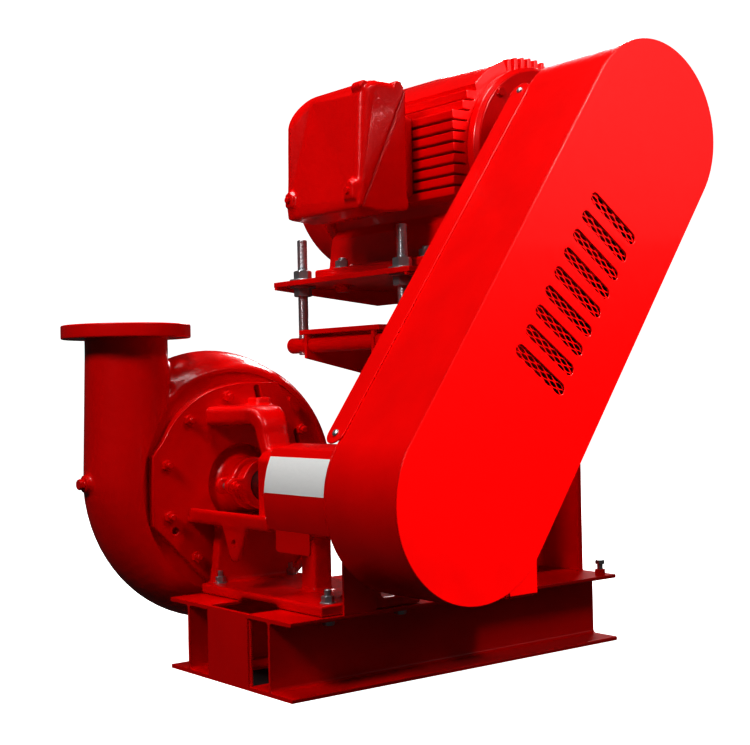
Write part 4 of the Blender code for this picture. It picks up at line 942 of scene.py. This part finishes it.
shield_low, shield_high = REAR_Y + 0.0036, 0.105
for side, start, stop in (("left", 150, 200), ("right", -20, 30)):
    shield = bent(GUARD_R - SHEET, GUARD_R, start, stop, shield_low, shield_high)
    stand_in("shaft_shield_" + side, "rolled", [shield], sprayed_enamel, edge=0.0008)
tab_x, tab_z = at_angle(AXIS, GUARD_R, 200)
tab = rounded([(-0.032, tab_z + 0.002), (-0.032, 0.280), (0.082, 0.280), (0.082, tab_z + 0.002)],
              [0, 0.008, 0.008, 0])
stand_in("shield_tab", "cut", [prism(tab, tab_x, tab_x + SHEET, "X")], sprayed_enamel, edge=0.0006)
# Vinyl film follows the paint under it and stays faintly wavy
white_vinyl = grained("white_vinyl_label", {
    "Base Color": linear("#F4F4F2"), "Roughness": 0.38, "Coat Weight": 0.2},
    "TexNoise", {"Scale": 90.0}, 0.0003)
build("blank_label", [bent(GUARD_R + 0.0001, GUARD_R + 0.0004, 155.5, 177.5, -0.096, 0.103)], white_vinyl)


# Guard supports: 6 mm plate bent to an angle, standing on the skid's near beam. The right one is held
# by two bright bolts.
support = rounded([(0.0, FOOT_Z), (0.006, FOOT_Z), (0.006, 0.262), (-0.0964, 0.262), (-0.0964, 0.256),
                   (0.0, 0.256)], [0, 0, 0.010, 0, 0, 0.004])
stand_in("guard_support_left", "bent", [prism(support, 0.128, 0.209, "X")], sprayed_enamel, edge=0.0007)
support = rounded([(0.060, FOOT_Z), (0.060, FOOT_Z + 0.006), (-0.0904, FOOT_Z + 0.006), (-0.0904, 0.240),
                   (-0.0964, 0.240), (-0.0964, FOOT_Z)], [0, 0, 0.004, 0, 0, 0.009])
stand_in("guard_support_right", "bent", [prism(support, 0.485, 0.555, "X")], sprayed_enamel, edge=0.0007)
support_bolts = [bolt_head(0.012, (0.520, 0.030, FOOT_Z + 0.006), "Z", washer=True),
                 bolt_head(0.012, (0.520, -0.0904, 0.215), "Y", washer=True)]
build("guard_support_bolts", support_bolts, zinc_plate)


# Stand: a 10 inch H column on the beams, a 12 mm top plate, tapered ribs welded under it, and a round
# bar through the ribs on each side for the threaded rods.
COLUMN, COLUMN_FLANGE, COLUMN_X, COLUMN_Y = 0.254, 0.0142, 0.660, 0.102
STAND_TOP, STAND_PLATE = 0.738, 0.0115
under = STAND_TOP - STAND_PLATE - GAP
column = h_section(COLUMN, COLUMN, COLUMN_FLANGE, 0.0086, 0.013, 0.003)[:, ::-1]
middle = np.array((COLUMN_X + COLUMN / 2, COLUMN_Y + COLUMN / 2))
stand_in("stand_column", "rolled", [prism(column + middle, FOOT_Z, under, "Z")], sprayed_enamel, edge=0.0006)
low, high = np.array((0.415, 0.236)), np.array((1.025, 0.545))
stand_in("stand_top_plate", "cut", [block((*low, under + GAP), (*high, STAND_TOP))], sprayed_enamel,
         edge=0.0010)
RIB_HALF = 0.005
tip, deep = under - 0.056, under - 0.110
rib_low, rib_high = low[0] + 0.002, high[0] - 0.002
col_left, col_right = COLUMN_X - GAP, COLUMN_X + COLUMN + GAP
ROD_X, ROD_Y, ANCHOR_Z, ANCHOR_R = (0.440, 1.000), (0.178, 0.560), 0.702, 0.019
bores = [circle(ANCHOR_R + 0.0005, (x, ANCHOR_Z), 40) for x in ROD_X]
near_left = [(rib_low, under), (rib_low, tip), (col_left, deep), (col_left, under)]
near_right = [(col_right, under), (col_right, deep), (rib_high, tip), (rib_high, under)]
far = [(rib_low, under), (rib_low, tip), (COLUMN_X, deep), (0.780, deep), (rib_high, tip), (rib_high, under)]
for name, outline, holes, y in (("near_left", near_left, bores[:1], 0.262),
                                ("near_right", near_right, bores[1:], 0.262), ("far", far, bores, 0.522)):
    stand_in("stand_rib_" + name, "cut",
             [plate([outline] + holes, y - RIB_HALF, y + RIB_HALF, "Y", 0.0012)], sprayed_enamel)
back_y, rib_end = COLUMN_Y + COLUMN + GAP, 0.5167
cross = [(back_y, under), (back_y, under - 0.180), (rib_end, deep), (rib_end, under)]
for name, x in (("left", COLUMN_X + COLUMN_FLANGE / 2), ("right", COLUMN_X + COLUMN - COLUMN_FLANGE / 2)):
    stand_in("stand_cross_rib_" + name, "cut", [plate([cross], x - RIB_HALF, x + RIB_HALF, "X", 0.0012)],
             sprayed_enamel)
bar = rounded([(0.0, 0.131), (ANCHOR_R, 0.131), (ANCHOR_R, 0.607), (0.0, 0.607)], [0, 0.002, 0.002, 0])
for name, x in (("left", ROD_X[0]), ("right", ROD_X[1])):
    stand_in("anchor_bar_" + name, "turned", [turned(bar, (x, ANCHOR_Z), steps=48)], sprayed_enamel)
col_far_x, col_far_y = COLUMN_X + COLUMN, COLUMN_Y + COLUMN
foot_corner = (COLUMN_X, COLUMN_Y, FOOT_Z)
stand_welds = [bead((rib_low, 0.257, under), (col_left, 0.257, under)),
               bead((col_right, 0.257, under), (rib_high, 0.257, under)),
               bead(foot_corner, (COLUMN_X, col_far_y, FOOT_Z), 0.004),
               bead(foot_corner, (COLUMN_X + COLUMN_FLANGE, COLUMN_Y, FOOT_Z), 0.004),
               bead((col_far_x, COLUMN_Y, FOOT_Z), (col_far_x, col_far_y, FOOT_Z), 0.004)]
build("stand_welds", stand_welds, sprayed_enamel)


# Threaded rods: 25 mm zinc-plated rod threaded end to end, screwed into the round bars, with a nut
# and a heavy washer above and below the motor plate.
PLATE_TOP, PLATE = 0.8577, 0.012
ROD_R, ROD_LOW, ROD_TOP, THREAD = 0.0127, 0.679, 0.958, 0.0032


def thread(place):
    """Screw thread: the radius is a triangle wave of height over pitch less the share of a turn."""
    rise = np.arange(ROD_LOW, ROD_TOP, THREAD / 4)[:, None]
    turn = whole_turn(24)[None, :]
    wave = np.abs(np.mod(rise / THREAD - turn / math.tau, 1) * 2 - 1)
    shrink = np.where(rise > ROD_TOP - 0.002, 0.0012, 0)
    radius = ROD_R - shrink - 0.0017 * (1 - wave)
    rings = np.stack([place[0] + radius * np.cos(turn), place[1] + radius * np.sin(turn),
                      np.broadcast_to(rise, radius.shape)], -1)
    return skin(rings)


def hex_nut(low, place, tall=0.021, flat=0.0190):
    """Heavy nut with both ends chamfered."""
    wide = flat / math.cos(math.pi / 6)
    return spindle(hexagon(0, tall, flat, wide, 0.0018, flat * 1.02), (*place, low), "Z")


def washer(low, place, radius=0.0318, thick=0.004):
    """Flat washer with a slight edge break."""
    ends = radius * 0.985
    stack = [(0, ends, ends), (0.0006, radius, radius), (thick - 0.0006, radius, radius), (thick, ends, ends)]
    return spindle(stack, (*place, low), "Z", 48)


plate_low = PLATE_TOP - PLATE
for i, x in enumerate(ROD_X):
    for j, y in enumerate(ROD_Y):
        stack = [thread((x, y)), washer(PLATE_TOP + GAP, (x, y)), hex_nut(PLATE_TOP + 0.004, (x, y)),
                 washer(plate_low - 0.0043, (x, y)), hex_nut(plate_low - 0.0255, (x, y))]
        stand_in("threaded_rod_%d" % (2 * i + j + 1), "cut", stack, zinc_plate, sharp=25)


# Motor plate: 12 mm plate with slotted holes for the motor's feet and round ones for the rods, and a
# shallow tapered rib welded under each long edge.
PLATE_LOW, PLATE_HIGH = (0.400, 0.109), (1.040, 0.629)
BOLT_X, BOLT_Y = (MOTOR_X - 0.203, MOTOR_X + 0.203), (0.185, 0.500)
plate_edge = rounded([PLATE_LOW, (PLATE_HIGH[0], PLATE_LOW[1]), PLATE_HIGH, (PLATE_LOW[0], PLATE_HIGH[1])],
                     0.004)
foot_slots = [slot_outline(np.array((x, y)), (0, 1), 0.060, 0.024) for x in BOLT_X for y in BOLT_Y]
rod_holes = [circle(ROD_R + 0.0005, (x, y)) for x in ROD_X for y in ROD_Y]
stand_in("motor_plate", "cut", [plate([plate_edge] + foot_slots + rod_holes, plate_low, PLATE_TOP, "Z",
                                      0.0012)], sprayed_enamel)
rib_top = plate_low - GAP
taper = [(PLATE_LOW[0], rib_top), (PLATE_LOW[0], rib_top - 0.006), (MOTOR_X, rib_top - 0.038),
         (PLATE_HIGH[0], rib_top - 0.006), (PLATE_HIGH[0], rib_top)]
for name, y in (("near", PLATE_LOW[1] + 0.010), ("far", PLATE_HIGH[1] - 0.010)):
    stand_in("motor_plate_rib_" + name, "cut", [prism(taper, y - RIB_HALF, y + RIB_HALF, "Y")],
             sprayed_enamel, edge=0.0008)


# Motor frame: grey iron casting with level fins on its sides and upright ones on top, smooth shoulders
# between, feet below, and round end shields bolted on; glossy paint over a fine cast skin.
MOTOR_R, FIN_REACH, FIN_ROUND_R, SHOULDER_R = 0.205, 0.236, 0.228, 0.223
SIDE_FINS, SIDE_FIN_LOW, SIDE_PITCH, TOP_FINS, TOP_PITCH = 10, -0.093, 0.0237, 7, 0.021
MOTOR_FRONT, MOTOR_REAR, MOTOR_BORE, SHAFT_HEIGHT = 0.050, 0.560, 0.045, 0.254
motor_enamel = enamel("red_enamel_on_motor", RED, DEEP_RED, 0.25, 0.35, 0.25, [(2.2, 0.10), (16, 0.5)])


def fins(across, tip, sink, root_half, tip_half):
    """Straight fins at these places across, from just inside the motor's round out to their tips: four
    points each, thicker at the root than at the tip."""
    root = np.sqrt(MOTOR_R ** 2 - across ** 2) - sink
    out = np.stack([root, tip, tip, root], 1).ravel()
    side = across[:, None] + np.array([-root_half, -tip_half, tip_half, root_half])
    return np.stack([out, side.ravel()], 1)


height = SIDE_FIN_LOW + SIDE_PITCH * np.arange(SIDE_FINS)
tip = np.where(np.arange(SIDE_FINS) < SIDE_FINS - 2, FIN_REACH, np.sqrt(FIN_ROUND_R ** 2 - height ** 2))
side_fins = fins(height, tip, 0.002, 0.0100, 0.0092)
across = (np.arange(TOP_FINS) - (TOP_FINS - 1) / 2) * TOP_PITCH
top_fins = fins(across, np.sqrt(SHOULDER_R ** 2 - across ** 2), 0.014, 0.0066, 0.0048)[:, ::-1] * (-1, 1)
shoulder = arc((0, 0), SHOULDER_R, 41, 69, 12)
rail_low = GAP - SHAFT_HEIGHT
rail_high = rail_low + 0.028
left_foot = np.array([(-0.172, -0.128), (-0.190, -0.150), (-0.200, rail_high), (-0.243, rail_high),
                      (-0.243, rail_low), (-0.165, rail_low), (-0.165, rail_high), (-0.130, -0.170)])
belly = arc((0, 0), MOTOR_R - 0.004, 234, 306, 24)
right_side = np.vstack([side_fins, shoulder])
finned = np.vstack([right_side, top_fins, (right_side * (-1, 1))[::-1], left_foot, belly,
                    (left_foot * (-1, 1))[::-1]])
fin_radii, smooth = [0.0012, 0.0030, 0.0030, 0.0012], [0.0] * len(shoulder)
foot_radii = [0.006, 0.010, 0.012, 0.006, 0.003, 0.003, 0.012, 0.015]
radii = fin_radii * SIDE_FINS + smooth + fin_radii * TOP_FINS + smooth + fin_radii * SIDE_FINS
finned = rounded(finned, radii + foot_radii + [0.0] * len(belly) + foot_radii[::-1], 4)
stand_in("motor_frame", "casting", [plate([finned + MOTOR, circle(MOTOR_BORE, MOTOR, 48)], MOTOR_FRONT,
                                          MOTOR_REAR, "Y", 0.0015)], motor_enamel)
front_y = MOTOR_FRONT - GAP
drive_shield = rounded([
    (0.197, front_y), (0.197, front_y - 0.020), (0.188, front_y - 0.031), (0.150, front_y - 0.038),
    (0.085, front_y - 0.042), (0.070, front_y - 0.060), (0.038, front_y - 0.060), (0.038, front_y)],
    [0.002, 0.006, 0.008, 0.02, 0.01, 0.003, 0.001, 0])
build("motor_shield_drive_casting", [turned(drive_shield, MOTOR, steps=96)], motor_enamel,
      stands_for=["motor_shield_drive_end"])
rear_y = MOTOR_REAR + GAP
fan_shield = rounded([(0.218, rear_y + 0.030), (0.222, rear_y + 0.022), (0.222, rear_y), (0.038, rear_y),
                      (0.038, rear_y + 0.030)], [0.001, 0.003, 0.002, 0, 0])
build("motor_shield_fan_casting", [turned(fan_shield, MOTOR, steps=96)], motor_enamel,
      stands_for=["motor_shield_fan_end"])
bolt_spots = [at_angle(MOTOR, 0.178, degrees) for degrees in (45, 135, 225, 315)]
shield_bolts = [bolt_head(0.012, (x, front_y - 0.032, z), "-Y") for x, z in bolt_spots]
build("motor_shield_bolts", shield_bolts, motor_enamel)
foot_bolts = [nut_and_stud(0.020, (x, y, PLATE_TOP + 0.0283), "Z", 0.35) for x in BOLT_X for y in BOLT_Y]
build("motor_foot_nuts", foot_bolts, zinc_plate)
plate_bolts = [bolt_head(0.020, (x, y, plate_low), "-Z", washer=True) for x in BOLT_X for y in BOLT_Y]
build("motor_foot_bolt_heads", plate_bolts, sprayed_enamel)


# Fan cowl: pressed steel dish over the fan, its end pierced with rings of short slots.
cowl_y = rear_y + 0.0303
cowl_line = np.array([(0.220, 0), (0.216, 0.085), (0.200, 0.108), (0.170, 0.112),
                      (0.170, 0.109), (0.198, 0.105), (0.213, 0.083), (0.217, 0)])
cowl_wall = rounded(cowl_line + (0, cowl_y), [0, 0.02, 0.012, 0, 0, 0.012, 0.02, 0])
inlets = []
for radius, count in ((0.062, 12), (0.088, 16), (0.114, 20), (0.140, 26)):
    for i in range(count):
        across = at_angle((0, 0), 1, 360 * (i + 0.5) / count)
        inlets.append(slot_outline(np.array(MOTOR) + across * radius, across, 0.020, 0.009, 4))
grille = plate([circle(0.1705, MOTOR, 96)] + inlets, cowl_y + 0.110, cowl_y + 0.113, "Y", 0.0008)
hub = disc(0.196, cowl_y, cowl_y + 0.060, MOTOR, "Y")
stand_in("motor_fan_cowl", "pressed", [turned(cowl_wall, MOTOR, steps=96), grille, hub], sprayed_enamel)


# Terminal box: two iron castings, a base against the motor's side and a deep cover whose top edge
# leans back, held by corner screws. The cover is plain.
base = [prism(rounded([(0.3093, 0.982), (0.372, 0.976), (0.440, 0.984), (0.440, 1.251), (0.4373, 1.253)],
                      [0.002, 0.010, 0.006, 0.004, 0.001]), 0.154, 0.421, "Y"),
        block((0.430, 0.185, 1.020), (0.4837, 0.390, 1.200), 0.012, "X"),
        disc(0.014, 0.395, 0.445, (0.168, 0.998), "X", 32),
        disc(0.014, 0.395, 0.445, (0.407, 0.998), "X", 32)]
cast("terminal_box_base", base, 0.0034, 2)


def box_cover():
    """Cover: the face's outline, drawn in from the front edge's arc by depth; each ring is the front
    outline pressed between the face and the slanted seam, which climbs as the box gets deeper."""
    front = rounded([(0.152, 0.982), (0.417, 0.982), (0.423, 1.004), (0.423, 1.264), (0.152, 1.264)],
                    [0.008, 0.006, 0.010, 0.062, 0.018], 8)
    seam = 0.3087 + (np.minimum(front[:, 1], 1.253) - 0.982) * 0.4723
    lean = np.clip((front[:, 1] - 1.185) / 0.079, 0, 1) ** 2 * 0.030
    face = 0.300 + lean
    middle = front.mean(0)
    stations = ((0.0, 0.875), (0.03, 0.925), (0.09, 0.963), (0.18, 0.987), (0.30, 1.0), (1.0, 1.0))
    share, draw = np.array(stations).T[:, :, None]
    drawn = middle + (front - middle) * draw[..., None]
    return laid(drawn[..., 0], drawn[..., 1], face + share * (seam - face), "X")


def raised(outline, face, back, draw):
    """Cast boss: its outline in Y and Z at the back, drawn in about its middle at the face."""
    outline = np.array(outline)
    middle = outline.mean(0)
    pair = np.stack([middle + (outline - middle) * draw, outline])
    return skin(laid(pair[..., 0], pair[..., 1], np.array([[face], [back]]), "X"))


left_boss = [(0.150, 0.990), (0.203, 0.990), (0.203, 1.034), (0.177, 1.056), (0.150, 1.042)]
right_boss = [(0.378, 0.998), (0.424, 1.002), (0.424, 1.046), (0.400, 1.056), (0.378, 1.036)]
cover_parts = [
    skin(box_cover()), raised(left_boss, 0.291, 0.316, 0.62), raised(right_boss, 0.293, 0.318, 0.62),
    disc(0.013, 0.160, 0.196, (0.332, 1.247), "Y", 24), disc(0.011, 0.152, 0.176, (0.418, 1.256), "Y", 24)]
cast("terminal_box_cover", cover_parts, 0.0032, 2)
lid_screws = [bolt_head(0.008, (0.2915, y, z), "-X") for y, z in ((0.177, 1.020), (0.402, 1.026))]
build("terminal_box_screws", lid_screws, cast_enamel)


# Pieces that keep the frame's own shape: the gland studs, plain zinc-plated steel.
for name in ("gland_stud_left", "gland_stud_right"):
    kept = frame["nodes"][name]
    kept.data.materials.clear()
    kept.data.materials.append(zinc_plate)

# The key lamp is linked to a few pieces only, as black flags would keep it off the skid, stand and pump: the
# guard with its vents, supports and strip, and the motor's frame, fan cowl and foot bolts receive it, and the
# weaker front lamp lights all.
flagged = bpy.data.collections.new("lit_by_key")
for thing in bpy.context.scene.objects:
    if thing.type == "MESH" and thing.name.startswith(("guard_", "vent_", "motor_frame", "motor_f")):
        flagged.objects.link(thing)
bpy.data.objects["key"].light_linking.receiver_collection = flagged
